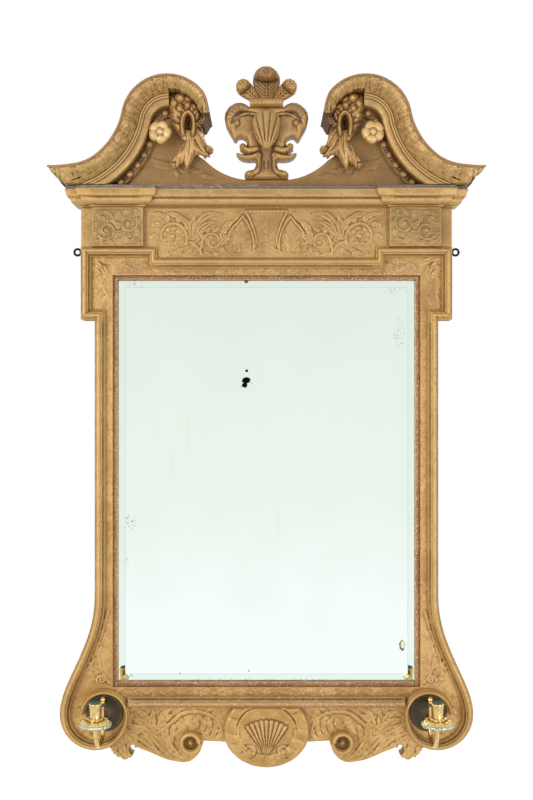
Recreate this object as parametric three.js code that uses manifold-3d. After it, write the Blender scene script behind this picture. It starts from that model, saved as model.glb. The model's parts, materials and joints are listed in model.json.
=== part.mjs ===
// Girandole mirror: a carved and gilt wall mirror with a swan-neck pediment over a bevelled plate, and two
// brass candle arms that swivel on plates in the volutes at its foot.
//
// Millimetres. X runs to the right as seen from the front and Z runs up. The wall is the plane Y = 0 and the
// mirror faces -Y, so a "depth" below is a distance forward from the wall. The origin is on the back of the
// top rail. Every left-hand piece is drawn once and its right-hand fellow is its mirror image.
import * as THREE from "three";
import { mergeVertices } from "three/addons/utils/BufferGeometryUtils.js";
import Module from "manifold-3d";

const wasm = await Module();
wasm.setup();

// ---------- driving dimensions ----------
const CUT_GAP = 0.3; // left between a turned or cut piece and its neighbour

// the glass and what frames it
const SIGHT_W = 600; // visible glass between the side slips
const SIGHT_H = 810; // visible glass between the top and bottom slips
const SIGHT_TOP = -34; // height of the visible glass's top edge
const SLIP_W = 9;
const SLIP_DEPTH = 34; // front of the slips
const REBATE = 6; // how far the glass goes in under the frame
const GLASS_T = 4;
const GLASS_BEVEL = 29; // width of the bevel, part of it under the slips
const GLASS_EDGE_T = 2; // thickness left at the glass's edge
const GLASS_PLAY = 0.5; // between the glass and the rebate
const GLASS_FRONT = 22; // depth of the glass's front face
const BACKBOARD_T = 6;
const BACKBOARD_BACK = 8; // depth of the boards' rear face
const BACKBOARDS = 3;

// the architrave: carved flat and outer moulding, with an ear at each upper corner
const FACE_DEPTH = 36; // front of the stiles and rails
const STILE_FLAT = 14; // carved flat beside the slip
const TOP_FLAT = 13;
const BOTTOM_FLAT = 17;
const MOULD_W = 20;
const MOULD_RISE = 22; // how far the moulding stands proud of the face
const EAR_OUT = 28; // how far an ear steps out past the stile
const EAR_UP = 22; // how far an ear steps up past the top moulding
const EAR_LENGTH = 153; // along the top
const EAR_DROP = 145; // down the side

// the foot: each side swells out and winds round a candle plate
const FLARE_RISE = 246; // from the plate's centre up to where the side begins to swell
const FLARE_OUT = 70; // how far the side has swelled out beside the plate
const PLATE_OUT = 18.5; // the plate's centre stands this far in from the stile's outer edge
const PLATE_DROP = 14; // and this far below the bottom moulding
const VOLUTE_INNER = 50; // radius of the volute on its inner side
const VOLUTE_EYE = 49; // and where the moulding ends
const VOLUTE_MOULD = 11; // width of the moulding where it ends

// frieze and cornice
const FRIEZE_DEPTH = 45;
const FRIEZE_H = 79; // above the ears
const BLOCK_INSET = 23; // plain strip outside each frieze block
const BLOCK_W = 103;
const BLOCK_PROUD = 13;
const CORNICE_H = 32;
const CORNICE_OUT = 28;
const TOP_BOARD_T = 7.5;
const TOP_BOARD_LIP = 2; // the board stands in behind the cornice's front edge

// pediment
const CROWN_DEPTH = 112; // front of the swan necks
const CROWN_W = 24; // crown moulding, measured square to its curve
const NECK_W = 70; // crown and bed together
const NECK_FOOT_DEPTH = 86; // front of the crown's lower edge
const NECK_TIP_OUT = 55; // the tip reaches this far past the frieze's end
const NECK_FOOT_RUN = 9; // level stretch at the tip
const NECK_GAP = 206; // between the two inner ends
const NECK_SEAT = 0.5; // the tip lies this far above the top board
const SCROLL_R = 90; // radius of the neck's upper curl
const SCROLL_RISE = 95; // the curl's centre above the tip
const BED_FRONT = 82;
const TYMPANUM_DEPTH = 42;
const TYMPANUM_SADDLE = 17; // height of the board at the middle, above the top board
const LEAF_FRONT = 96;
const ROSETTE_R = 23;
const ROSETTE_OUT = 17; // its centre lies this far out from the curl's
const ROSETTE_DROP = 16; // and this far below it
const ROSETTE_STEM_R = 6;
const ROSETTE_FRONT = 94;
const ROSETTE_T = 21;

// cartouche, from the saddle of the tympanum up
const CARTOUCHE_BACK = 20;
const CARTOUCHE_FRONT = 68;
const CARTOUCHE_H = 141;
const CARTOUCHE_HALF_W = 82;
const SHELL_PROUD = 14;
const BAND_H = 16;
const BAND_HALF_W = 33;
const PLUME_H = 65;

// apron
const APRON_DROP = 73; // depth of the plain apron edge below the bottom moulding
const ROUNDEL_HALF_W = 86;
const ROUNDEL_DROP = 121; // from the bottom moulding down to the roundel's lowest point
const ROUNDEL_R_Z = 74; // its half-height if it were whole
const ROUNDEL_PROUD = 26;
const SMALL_SCROLL_R = 23;
const SMALL_SCROLL_OUT = 152;
const SMALL_SCROLL_PROUD = 18;

// candle arms
const PLATE_R = 37;
const PLATE_T = 4;
const PIN_DEPTH = 64; // the swivel axis, forward from the wall
const PIN_R = 3.2;
const PIN_PLAY = 0.35;
const LUG_R = 6.5;
const LUG_T = 6;
const LUG_UPPER = 24; // height of the upper lug's middle above the plate's centre
const LUG_LOWER = -6;
const ARM_R = 4.2;
const ARM_REACH = 97; // from the swivel axis to the nozzle's axis
const ARM_BOTTOM = -44; // lowest point of the arm's centre line, below the plate's centre
const PAN_R = 32;
const PAN_RISE = 16; // underside of the pan above the plate's centre
const PAN_T = 3;
const PAN_RIM = 8; // thickness of the rope rim
const PAN_DISH = 3.5; // depth of the dish inside the rim
const COLLAR_WALL = 1.9;
const COLLAR_H = 5;
const NOZZLE_BORE_R = 9.5;
const NOZZLE_WALL = 1.8;
const NOZZLE_H = 36;
const NOZZLE_FLOOR = 4;
const STUB_PLAY = 0.5; // between the stub and the nozzle's bore
const STUB_H = 16;

// screw eyes at the ears
const EYE_R = 9;
const EYE_HOLE_R = 4;
const EYE_T = 4;
const EYE_BACK = 1; // depth of the ring's rear face
const EYE_DROP = 5; // below the top of the ear
const EYE_OUT = 14; // the ring's centre stands this far out from the ear
const EYE_SHANK_R = 1.8;
const EYE_SHANK_PLAY = 0.25;
const EYE_SHANK_L = 18;

// ---------- heights and half-widths that follow from them ----------
const SLIP_X = SIGHT_W / 2 + SLIP_W; // inner edge of the stiles
const STILE_X = SLIP_X + STILE_FLAT + MOULD_W; // outer edge of the stiles
const EAR_X = STILE_X + EAR_OUT; // outer edge of the ears and the frieze
const RAIL_Z = SIGHT_TOP + SLIP_W; // lower edge of the top rail
const TOP_Z = RAIL_Z + TOP_FLAT + MOULD_W; // top of the top moulding
const EAR_Z = TOP_Z + EAR_UP;
const SILL_Z = SIGHT_TOP - SIGHT_H - SLIP_W; // upper edge of the bottom rail
const BOTTOM_MOULD_Z = SILL_Z - BOTTOM_FLAT;
const FOOT_Z = BOTTOM_MOULD_Z - MOULD_W; // lower edge of the bottom moulding
const PLATE_X = STILE_X - PLATE_OUT;
const PLATE_Z = FOOT_Z - PLATE_DROP;
const CREST_DEPTH = FACE_DEPTH + MOULD_RISE;
const FRIEZE_Z = EAR_Z + FRIEZE_H;
const CORNICE_Z = FRIEZE_Z + CORNICE_H;
const PEDIMENT_Z = CORNICE_Z + TOP_BOARD_T;
const SADDLE_Z = PEDIMENT_Z + TYMPANUM_SADDLE;
const BLOCK_X = EAR_X - BLOCK_INSET; // outer edge of a frieze block
const TIP_Z = PEDIMENT_Z + CROWN_W + NECK_SEAT;
const TIP_X = EAR_X + NECK_TIP_OUT;
const SCROLL_X = NECK_GAP / 2 + SCROLL_R;
const SCROLL_Z = TIP_Z + SCROLL_RISE;

// ---------- materials ----------
const gilt = new THREE.MeshStandardMaterial({ color: 0xb48c50, metalness: 0.7, roughness: 0.45 });
const pine = new THREE.MeshStandardMaterial({ color: 0xb9925f, metalness: 0, roughness: 0.8 });
const mirror = new THREE.MeshStandardMaterial({ color: 0xe6efe8, metalness: 1, roughness: 0.03 });
const brass = new THREE.MeshStandardMaterial({ color: 0xc9a95b, metalness: 1, roughness: 0.25 });
const darkMetal = new THREE.MeshStandardMaterial({ color: 0x3b322a, metalness: 0.6, roughness: 0.5 });
const iron = new THREE.MeshStandardMaterial({ color: 0x1f1d1c, metalness: 0.8, roughness: 0.6 });
const wax = new THREE.MeshStandardMaterial({ color: 0x0e5a44, metalness: 0, roughness: 0.4 });

const mirrorGroup = new THREE.Group();
mirrorGroup.name = "girandole_mirror";

// ---------- helpers ----------
const point = (x, z) => new THREE.Vector2(x, z);

// The geometry with its shared corners merged and its faces turned outwards.
function closed(geometry) {
  geometry.deleteAttribute("normal");
  geometry.deleteAttribute("uv");
  const merged = mergeVertices(geometry, 1e-3);
  const p = merged.getAttribute("position");
  const faces = merged.index.array;
  const [a, b, c] = [new THREE.Vector3(), new THREE.Vector3(), new THREE.Vector3()];
  let volume = 0;
  for (let i = 0; i < faces.length; i += 3) {
    a.fromBufferAttribute(p, faces[i]);
    b.fromBufferAttribute(p, faces[i + 1]);
    c.fromBufferAttribute(p, faces[i + 2]);
    volume += a.dot(b.cross(c));
  }
  if (volume < 0) for (let i = 0; i < faces.length; i += 3) faces.subarray(i, i + 2).reverse();
  return merged;
}

function toSolid(geometry) {
  const merged = closed(geometry);
  return new wasm.Manifold(
    new wasm.Mesh({
      numProp: 3,
      vertProperties: merged.getAttribute("position").array,
      triVerts: new Uint32Array(merged.index.array),
    }),
  );
}

function toGeometry(solid) {
  const mesh = solid.getMesh();
  return new THREE.BufferGeometry()
    .setAttribute("position", new THREE.BufferAttribute(mesh.vertProperties, 3))
    .setIndex(new THREE.BufferAttribute(mesh.triVerts, 1));
}

const join = (...pieces) => toGeometry(pieces.map(toSolid).reduce((whole, next) => whole.add(next)));
const cut = (piece, ...tools) =>
  toGeometry(tools.map(toSolid).reduce((left, tool) => left.subtract(tool), toSolid(piece)));

function add(name, geometry, material) {
  const mesh = new THREE.Mesh(closed(geometry), material);
  mesh.name = name;
  mirrorGroup.add(mesh);
  return mesh;
}

// A left-hand piece and its mirror image.
function addPair(name, geometry, material) {
  add("left_" + name, geometry.clone(), material);
  add("right_" + name, geometry, material).scale.x = -1;
}

// A box from its least and greatest X and Z and its rear and front depths.
function block(x0, x1, z0, z1, rear, front) {
  const box = new THREE.BoxGeometry(x1 - x0, front - rear, z1 - z0);
  return box.translate((x0 + x1) / 2, -(rear + front) / 2, (z0 + z1) / 2);
}

// A flat board of the given outline, seen from the front, between two depths.
function board(outline, rear, front) {
  const plate = new THREE.ExtrudeGeometry(new THREE.Shape(outline), { depth: front - rear, bevelEnabled: false });
  return plate.rotateX(Math.PI / 2).translate(0, -rear, 0);
}

const mirrored = (outline) => outline.map((p) => point(-p.x, p.y)).reverse();

// A moulding swept along a path, with mitred corners. The path runs anticlockwise seen along -"rise", so its
// left-hand side is the side that "across" measures towards. place turns (path point, rise) into a 3-D point.
// The run takes the path's corners from first to last, and the corners beyond them still set its end mitres.
function moulding(path, section, place, first = 0, last = path.length - 1, scale = () => 1) {
  const normals = path.slice(1).map((p, i) => {
    const along = p.clone().sub(path[i]).normalize();
    return point(-along.y, along.x);
  });
  const rings = [];
  for (let i = first; i <= last; i++) {
    const before = normals[Math.max(i - 1, 0)];
    const after = normals[Math.min(i, normals.length - 1)];
    const mitre = before.clone().add(after).divideScalar(1 + before.dot(after));
    for (const [across, rise] of section) {
      rings.push(place(path[i].clone().addScaledVector(mitre, across * scale(i)), rise));
    }
  }
  const n = section.length;
  const rows = last - first;
  const faces = [];
  for (let row = 0; row < rows; row++)
    for (let k = 0; k < n; k++) {
      const [a, b] = [row * n + k, row * n + ((k + 1) % n)];
      faces.push(a, b, b + n, a, b + n, a + n);
    }
  const outline = section.map(([across, rise]) => point(across, rise));
  const order = Math.sign(THREE.ShapeUtils.area(outline));
  for (const corner of THREE.ShapeUtils.triangulateShape(outline, [])) {
    if (Math.sign(THREE.ShapeUtils.area(corner.map((i) => outline[i]))) !== order) corner.reverse();
    const [i, j, k] = corner;
    faces.push(i, k, j, ...corner.map((index) => rows * n + index));
  }
  const geometry = new THREE.BufferGeometry().setFromPoints(rings);
  return geometry.setIndex(faces);
}

const upright = (p, depth) => new THREE.Vector3(p.x, -depth, p.y); // a path drawn on the mirror's front
const level = (p, height) => new THREE.Vector3(p.x, p.y, height); // a path drawn on plan

// Points along an arc from one angle to another, in degrees.
function arc(x, z, radius, from, to, steps) {
  return Array.from({ length: steps + 1 }, (_, i) => {
    const angle = THREE.MathUtils.degToRad(from + ((to - from) * i) / steps);
    return point(x + radius * Math.cos(angle), z + radius * Math.sin(angle));
  });
}

// A turned piece about a vertical axis, from [radius, height] pairs.
function turned(profile, sides) {
  const points = profile.map(([radius, height]) => point(radius, height));
  return new THREE.LatheGeometry(points, sides).rotateX(Math.PI / 2);
}

function rod(radius, from, to, sides) {
  const [start, end] = [new THREE.Vector3(...from), new THREE.Vector3(...to)];
  const along = end.clone().sub(start);
  const bar = new THREE.CylinderGeometry(radius, radius, along.length(), sides);
  const turn = new THREE.Quaternion().setFromUnitVectors(new THREE.Vector3(0, 1, 0), along.clone().normalize());
  return bar.applyQuaternion(turn).translate(...start.add(end).divideScalar(2).toArray());
}

// ---------- carcass ----------
// The outer edge of the left side, from the ear down to the foot, then once and a half round the volute.
const FLARE_STEPS = 16;
const VOLUTE_STEPS = 36;
const earFootZ = EAR_Z - EAR_DROP;
const voluteOuter = PLATE_OUT + FLARE_OUT;

function voluteRadius(angle) {
  const outerHalf = THREE.MathUtils.smoothstep(angle, 180, 360);
  const innerHalf = THREE.MathUtils.clamp((angle - 360) / 180, 0, 1);
  return voluteOuter + (VOLUTE_INNER - voluteOuter) * outerHalf + (VOLUTE_EYE - VOLUTE_INNER) * innerHalf;
}

function volutePoint(angle) {
  const radians = THREE.MathUtils.degToRad(angle);
  const radius = voluteRadius(angle);
  return point(-PLATE_X + radius * Math.cos(radians), PLATE_Z + radius * Math.sin(radians));
}

const flare = Array.from({ length: FLARE_STEPS }, (_, i) => {
  const down = i / FLARE_STEPS;
  const swell = THREE.MathUtils.smoothstep(down ** 1.25, 0, 1);
  return point(-STILE_X - FLARE_OUT * swell, PLATE_Z + FLARE_RISE * (1 - down));
});
const volute = Array.from({ length: VOLUTE_STEPS + 1 }, (_, i) => volutePoint(180 + (360 * i) / VOLUTE_STEPS));
const sideEdge = [...flare, ...volute];

// Where the side's outer edge crosses the foot of the bottom moulding.
function footCrossing() {
  const below = sideEdge.findIndex((p) => p.y < FOOT_Z);
  const [a, b] = [sideEdge[below - 1], sideEdge[below]];
  return point(THREE.MathUtils.lerp(a.x, b.x, (a.y - FOOT_Z) / (a.y - b.y)), FOOT_Z);
}

function leftStile() {
  const above = flare.filter((p) => p.y > FOOT_Z);
  const inner = [point(-SLIP_X, FOOT_Z), point(-SLIP_X, TOP_Z), point(-STILE_X, TOP_Z)];
  const outline = [...inner, ...above, footCrossing()];
  const glassRebate = block(-SLIP_X - REBATE, -SLIP_X + 1, SILL_Z - REBATE, RAIL_Z + REBATE, -1, GLASS_FRONT);
  return cut(board(outline, 0, FACE_DEPTH), glassRebate);
}
addPair("stile", leftStile(), gilt);

function rail(lower, upper, rebateLower, rebateUpper) {
  const wood = block(-SLIP_X, SLIP_X, lower, upper, 0, FACE_DEPTH);
  return cut(wood, block(-SLIP_X - 1, SLIP_X + 1, rebateLower, rebateUpper, -1, GLASS_FRONT));
}
add("top_rail", rail(RAIL_Z, TOP_Z, RAIL_Z - 1, RAIL_Z + REBATE), gilt);
add("bottom_rail", rail(FOOT_Z, SILL_Z, SILL_Z - REBATE, SILL_Z + 1), gilt);

// L-shaped pieces planted round the carcass's upper corners, bored at the side for the screw eyes.
const earEndX = EAR_X - EAR_LENGTH;
const eyeZ = EAR_Z - EYE_DROP;
const eyeDepth = EYE_BACK + EYE_T / 2;
function leftEarBlock() {
  const outline = [
    point(-earEndX, EAR_Z),
    point(-EAR_X, EAR_Z),
    point(-EAR_X, earFootZ),
    point(-STILE_X, earFootZ),
    point(-STILE_X, TOP_Z),
    point(-earEndX, TOP_Z),
  ];
  const boreEnd = -EAR_X + EYE_SHANK_L + CUT_GAP;
  const bore = rod(EYE_SHANK_R + EYE_SHANK_PLAY, [-EAR_X - 1, -eyeDepth, eyeZ], [boreEnd, -eyeDepth, eyeZ], 16);
  return cut(board(outline, 0, FACE_DEPTH), bore);
}
addPair("ear_block", leftEarBlock(), gilt);

// ---------- glazing ----------
const glassX = SLIP_X + REBATE - GLASS_PLAY;
const glassTop = RAIL_Z + REBATE - GLASS_PLAY;
const glassFoot = SILL_Z - REBATE + GLASS_PLAY;
function glassPlate() {
  const corners = [
    [GLASS_FRONT - GLASS_T, 0],
    [GLASS_FRONT - GLASS_T + GLASS_EDGE_T, 0],
    [GLASS_FRONT, GLASS_BEVEL],
  ].flatMap(([depth, inset]) => [
    new THREE.Vector3(-glassX + inset, -depth, glassFoot + inset),
    new THREE.Vector3(glassX - inset, -depth, glassFoot + inset),
    new THREE.Vector3(glassX - inset, -depth, glassTop - inset),
    new THREE.Vector3(-glassX + inset, -depth, glassTop - inset),
  ]);
  const faces = [0, 1, 2, 0, 2, 3, 8, 10, 9, 8, 11, 10];
  for (const ring of [0, 4])
    for (let i = 0; i < 4; i++) {
      const [a, b] = [ring + i, ring + ((i + 1) % 4)];
      faces.push(a, a + 4, b, b, a + 4, b + 4);
    }
  return new THREE.BufferGeometry().setFromPoints(corners).setIndex(faces);
}
add("mirror_glass", glassPlate(), mirror);

const boardPitch = (glassTop - glassFoot) / BACKBOARDS;
["lower", "middle", "upper"].forEach((place, i) => {
  const foot = glassFoot + i * boardPitch;
  const backboard = block(
    -glassX, glassX, foot + GLASS_PLAY / 2, foot + boardPitch - GLASS_PLAY / 2,
    BACKBOARD_BACK, BACKBOARD_BACK + BACKBOARD_T,
  );
  add(place + "_backboard", backboard, pine);
});

const slipSection = [
  [0, GLASS_FRONT + CUT_GAP],
  [0, SLIP_DEPTH - 3],
  [2, SLIP_DEPTH],
  [SLIP_W - 3, SLIP_DEPTH],
  [SLIP_W, SLIP_DEPTH - 6],
  [SLIP_W, GLASS_FRONT + CUT_GAP],
];
const [topRight, topLeft] = [point(SLIP_X, RAIL_Z), point(-SLIP_X, RAIL_Z)];
const [bottomLeft, bottomRight] = [point(-SLIP_X, SILL_Z), point(SLIP_X, SILL_Z)];
const sightEdge = [bottomRight, topRight, topLeft, bottomLeft, bottomRight, topRight, topLeft];
["top", "left", "bottom", "right"].forEach((side, i) => {
  add(side + "_slip", moulding(sightEdge, slipSection, upright, i + 1, i + 2), gilt);
});

// ---------- architrave mouldings ----------
const architraveSection = [
  [0, FACE_DEPTH],
  [0, CREST_DEPTH - 8],
  [3, CREST_DEPTH - 4],
  [7, CREST_DEPTH],
  [12, CREST_DEPTH - 1],
  [15, CREST_DEPTH - 7],
  [MOULD_W - 3, CREST_DEPTH - 11],
  [MOULD_W, CREST_DEPTH - 14],
  [MOULD_W, FACE_DEPTH],
];
const leftEdge = [
  point(earEndX, TOP_Z),
  point(-earEndX, TOP_Z),
  point(-earEndX, EAR_Z),
  point(-EAR_X, EAR_Z),
  point(-EAR_X, earFootZ),
  point(-STILE_X, earFootZ),
  ...sideEdge,
];
const EAR_START = 1;
const SIDE_START = 5;
const voluteStart = SIDE_START + 1 + FLARE_STEPS;

function topMoulding() {
  const path = [point(earEndX, EAR_Z), point(earEndX, TOP_Z), point(-earEndX, TOP_Z), point(-earEndX, EAR_Z)];
  return moulding(path, architraveSection, upright, 1, 2);
}
add("top_moulding", topMoulding(), gilt);
addPair("ear_moulding", moulding(leftEdge, architraveSection, upright, EAR_START, SIDE_START), gilt);

// The moulding narrows over the volute's outer half turn.
function mouldingShare(i) {
  const turn = THREE.MathUtils.clamp((2 * (i - voluteStart)) / VOLUTE_STEPS, 0, 1);
  return THREE.MathUtils.lerp(1, VOLUTE_MOULD / MOULD_W, turn);
}
const outerMoulding = moulding(
  leftEdge, architraveSection, upright, SIDE_START, leftEdge.length - 1, mouldingShare,
);
addPair("outer_moulding", outerMoulding, gilt);

const bottomMouldingX = PLATE_X - Math.sqrt(VOLUTE_INNER ** 2 - PLATE_DROP ** 2) - CUT_GAP;
const bottomEdge = [point(-bottomMouldingX, FOOT_Z), point(bottomMouldingX, FOOT_Z)];
add("bottom_moulding", moulding(bottomEdge, architraveSection, upright), gilt);

// ---------- frieze and cornice ----------
function friezeBoard() {
  const half = [
    point(-earEndX, TOP_Z),
    point(-earEndX, EAR_Z),
    point(-EAR_X, EAR_Z),
    point(-EAR_X, FRIEZE_Z),
  ];
  return board([...half, ...mirrored(half)], 0, FRIEZE_DEPTH);
}
add("frieze_board", friezeBoard(), gilt);
const blockFront = FRIEZE_DEPTH + BLOCK_PROUD;
const blockInnerX = BLOCK_X - BLOCK_W;
addPair("frieze_block", block(-BLOCK_X, -blockInnerX, EAR_Z, FRIEZE_Z, FRIEZE_DEPTH, blockFront), gilt);

add("cornice_core", block(-EAR_X, EAR_X, FRIEZE_Z, CORNICE_Z, 0, FRIEZE_DEPTH), pine);
const corniceSection = [
  [0, FRIEZE_Z],
  [4, FRIEZE_Z],
  [6, FRIEZE_Z + 5],
  [9, FRIEZE_Z + 8],
  [12, FRIEZE_Z + 15],
  [CORNICE_OUT - 7, CORNICE_Z - 10],
  [CORNICE_OUT - 5, CORNICE_Z - 7],
  [CORNICE_OUT, CORNICE_Z - 5],
  [CORNICE_OUT, CORNICE_Z],
  [0, CORNICE_Z],
];
function corniceCentre() {
  const path = [
    point(blockInnerX, -blockFront),
    point(blockInnerX, -FRIEZE_DEPTH),
    point(-blockInnerX, -FRIEZE_DEPTH),
    point(-blockInnerX, -blockFront),
  ];
  return moulding(path, corniceSection, level, 1, 2);
}
add("cornice_centre", corniceCentre(), gilt);

function leftCorniceBlock() {
  const path = [
    point(blockInnerX, -FRIEZE_DEPTH),
    point(-blockInnerX, -FRIEZE_DEPTH),
    point(-blockInnerX, -blockFront),
    point(-BLOCK_X, -blockFront),
    point(-BLOCK_X, -FRIEZE_DEPTH),
    point(-EAR_X, -FRIEZE_DEPTH),
    point(-EAR_X, 0),
  ];
  const backing = block(-BLOCK_X, -blockInnerX, FRIEZE_Z, CORNICE_Z, FRIEZE_DEPTH, blockFront);
  return join(moulding(path, corniceSection, level, 1), backing);
}
addPair("cornice_block", leftCorniceBlock(), gilt);

function corniceTopBoard() {
  const out = CORNICE_OUT - TOP_BOARD_LIP;
  const centreFront = FRIEZE_DEPTH + out;
  const wholeBoard = block(-EAR_X - out, EAR_X + out, CORNICE_Z, PEDIMENT_Z, 0, centreFront);
  const overBlocks = [-1, 1].map((side) => {
    const middle = side * (BLOCK_X - BLOCK_W / 2);
    const half = BLOCK_W / 2 + out;
    return block(middle - half, middle + half, CORNICE_Z, PEDIMENT_Z, centreFront - 1, blockFront + out);
  });
  return join(wholeBoard, ...overBlocks);
}
add("cornice_top_board", corniceTopBoard(), gilt);

// ---------- pediment ----------
// The left neck's outer edge: a convex curl that runs over into a hollow curve, level at the tip. The hollow
// curve's radius is the one that touches both the curl and the level of the tip.
const hollowX = TIP_X - NECK_FOOT_RUN;
const hollowAcross = hollowX - SCROLL_X;
const hollowR =
  (hollowAcross ** 2 + SCROLL_RISE ** 2 - SCROLL_R ** 2) / (2 * (SCROLL_R + SCROLL_RISE));
const hollowZ = TIP_Z + hollowR;
const bendAngle = THREE.MathUtils.radToDeg(Math.atan2(hollowZ - SCROLL_Z, -hollowAcross));
const INNER_STEPS = 10; // from the inner end up to the curl's highest point
const OUTER_STEPS = 9; // and on to the bend
const HOLLOW_STEPS = 14;
const NECK_END = 3; // short upright stretch, so that the inner end is cut level
const BED_START = 1 + INNER_STEPS; // the bed moulding starts at the curl's highest point
const neckEdge = [
  point(SCROLL_R - SCROLL_X, SCROLL_Z - NECK_END),
  ...arc(-SCROLL_X, SCROLL_Z, SCROLL_R, 0, 90, INNER_STEPS),
  ...arc(-SCROLL_X, SCROLL_Z, SCROLL_R, 90, bendAngle, OUTER_STEPS).slice(1),
  ...arc(-hollowX, hollowZ, hollowR, bendAngle - 180, -90, HOLLOW_STEPS).slice(1),
  point(-TIP_X, TIP_Z),
];

const crownSection = [
  [0, 0],
  [0, CROWN_DEPTH],
  [4, CROWN_DEPTH],
  [6, CROWN_DEPTH - 4],
  [9, CROWN_DEPTH - 8],
  [14, CROWN_DEPTH - 13],
  [19, CROWN_DEPTH - 20],
  [CROWN_W - 3, CROWN_DEPTH - 24],
  [CROWN_W, NECK_FOOT_DEPTH],
  [CROWN_W, 0],
];
// The tip is returned to the wall: the moulding's own section, cut through from the front.
function leftSwanNeck() {
  const side = crownSection.slice(1, -1).map(([across, depth]) => point(CROWN_DEPTH - depth - TIP_X, TIP_Z - across));
  const outside = [point(-TIP_X - 1, side.at(-1).y - 1), point(-TIP_X - 1, TIP_Z + 1), point(-TIP_X, TIP_Z + 1)];
  const waste = [...outside, ...side, point(side.at(-1).x, side.at(-1).y - 1)];
  return cut(moulding(neckEdge, crownSection, upright), board(waste, -1, CROWN_DEPTH + 1));
}
addPair("swan_neck", leftSwanNeck(), gilt);

const bedSection = [
  [CROWN_W + CUT_GAP, TYMPANUM_DEPTH],
  [CROWN_W + CUT_GAP, BED_FRONT],
  [CROWN_W + 16, BED_FRONT - 2],
  [CROWN_W + 18, BED_FRONT - 6],
  [NECK_W - 18, BED_FRONT - 11],
  [NECK_W - 10, BED_FRONT - 17],
  [NECK_W - 4, BED_FRONT - 29],
  [NECK_W, TYMPANUM_DEPTH + 6],
  [NECK_W, TYMPANUM_DEPTH],
];
function leftSwanNeckBed() {
  const belowCornice = block(-TIP_X - 1, 0, 0, PEDIMENT_Z + CUT_GAP, 0, CROWN_DEPTH);
  return cut(moulding(neckEdge, bedSection, upright, BED_START), belowCornice);
}
addPair("swan_neck_bed", leftSwanNeckBed(), gilt);

// The points of the neck's edge moved inwards by a given width.
function neckInset(width) {
  return neckEdge.map((p, i) => {
    const before = neckEdge[Math.max(i - 1, 0)];
    const after = neckEdge[Math.min(i + 1, neckEdge.length - 1)];
    const along = after.clone().sub(before).normalize();
    return point(p.x - along.y * width, p.y + along.x * width);
  });
}

function tympanumBoard() {
  const underCrown = neckInset(CROWN_W + CUT_GAP).filter((p) => p.y > PEDIMENT_Z + 1);
  const saddleEnd = point(-CARTOUCHE_HALF_W / 2 - 5, SADDLE_Z);
  const behindLeaf = point(-SCROLL_X + 70, SCROLL_Z - 64);
  const sweep = new THREE.QuadraticBezierCurve(behindLeaf, point(-SCROLL_X + 103, SADDLE_Z + 6), saddleEnd);
  const half = [
    ...underCrown.reverse(),
    point(-SCROLL_X + 55, SCROLL_Z - 24),
    point(-SCROLL_X + 57, SCROLL_Z - 55),
    ...sweep.getPoints(6),
  ];
  const foot = point(half[0].x, PEDIMENT_Z);
  return board([foot, ...half, ...mirrored(half), point(-foot.x, foot.y)], 0, TYMPANUM_DEPTH);
}
add("tympanum_board", tympanumBoard(), gilt);

// Acanthus that springs from the end of the bed moulding and hangs inside the curl.
function leftScrollLeaf() {
  const springing = arc(-SCROLL_X, SCROLL_Z, SCROLL_R - CROWN_W - 2 * CUT_GAP, 89.6, 0, 8);
  const hanging = [
    [65, -NECK_END - 2], [75, -18], [87, -40], [87, -54], [73, -63], [58, -56], [43, -78], [32, -92], [23, -78],
    [9, -82], [1, -76], [15, -53], [33, -33], [23, -18], [12, -6], [0.4, 20],
  ].map(([across, rise]) => point(across - SCROLL_X, SCROLL_Z + rise));
  return board([...springing, ...hanging], TYMPANUM_DEPTH, LEAF_FRONT);
}
addPair("scroll_leaf", leftScrollLeaf(), gilt);

const rosetteX = SCROLL_X + ROSETTE_OUT;
const rosetteZ = SCROLL_Z - ROSETTE_DROP;
function leftRosette() {
  const at = (depth) => [-rosetteX, -depth, rosetteZ];
  const flower = rod(ROSETTE_R, at(ROSETTE_FRONT - ROSETTE_T), at(ROSETTE_FRONT), 28);
  return join(flower, rod(ROSETTE_STEM_R, at(TYMPANUM_DEPTH + CUT_GAP), at(ROSETTE_FRONT - 1), 12));
}
addPair("rosette", leftRosette(), gilt);

// ---------- cartouche ----------
// Half outlines run from the middle at the foot round to the middle at the top, above the saddle.
function cartouchePiece(half, rear, front) {
  const right = half.map(([across, rise]) => point(across, SADDLE_Z + rise));
  return board([...right, ...mirrored(right)], rear, front);
}
const shoulder = CARTOUCHE_HALF_W;
const bodyHalf = [
  [40, CUT_GAP], [42, 8], [38, 16], [30, 18], [22, 21], [20, 30], [22, 40], [40, 42], [50, 48], [44, 58], [51, 64],
  [48, 72], [58, 76], [66, 90], [shoulder - 5, 105], [shoulder, 120], [shoulder - 2, 134],
  [shoulder - 12, 146], [shoulder - 26, 152], [44, 147], [BAND_HALF_W + 1, CARTOUCHE_H],
];
add("cartouche_body", cartouchePiece(bodyHalf, CARTOUCHE_BACK, CARTOUCHE_FRONT), gilt);
const shellHalf = [[5, 57], [15, 66], [24, 84], [28, 104], [24, 120], [13, 129], [3, 131]];
add("cartouche_shell", cartouchePiece(shellHalf, CARTOUCHE_FRONT, CARTOUCHE_FRONT + SHELL_PROUD), gilt);

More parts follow.
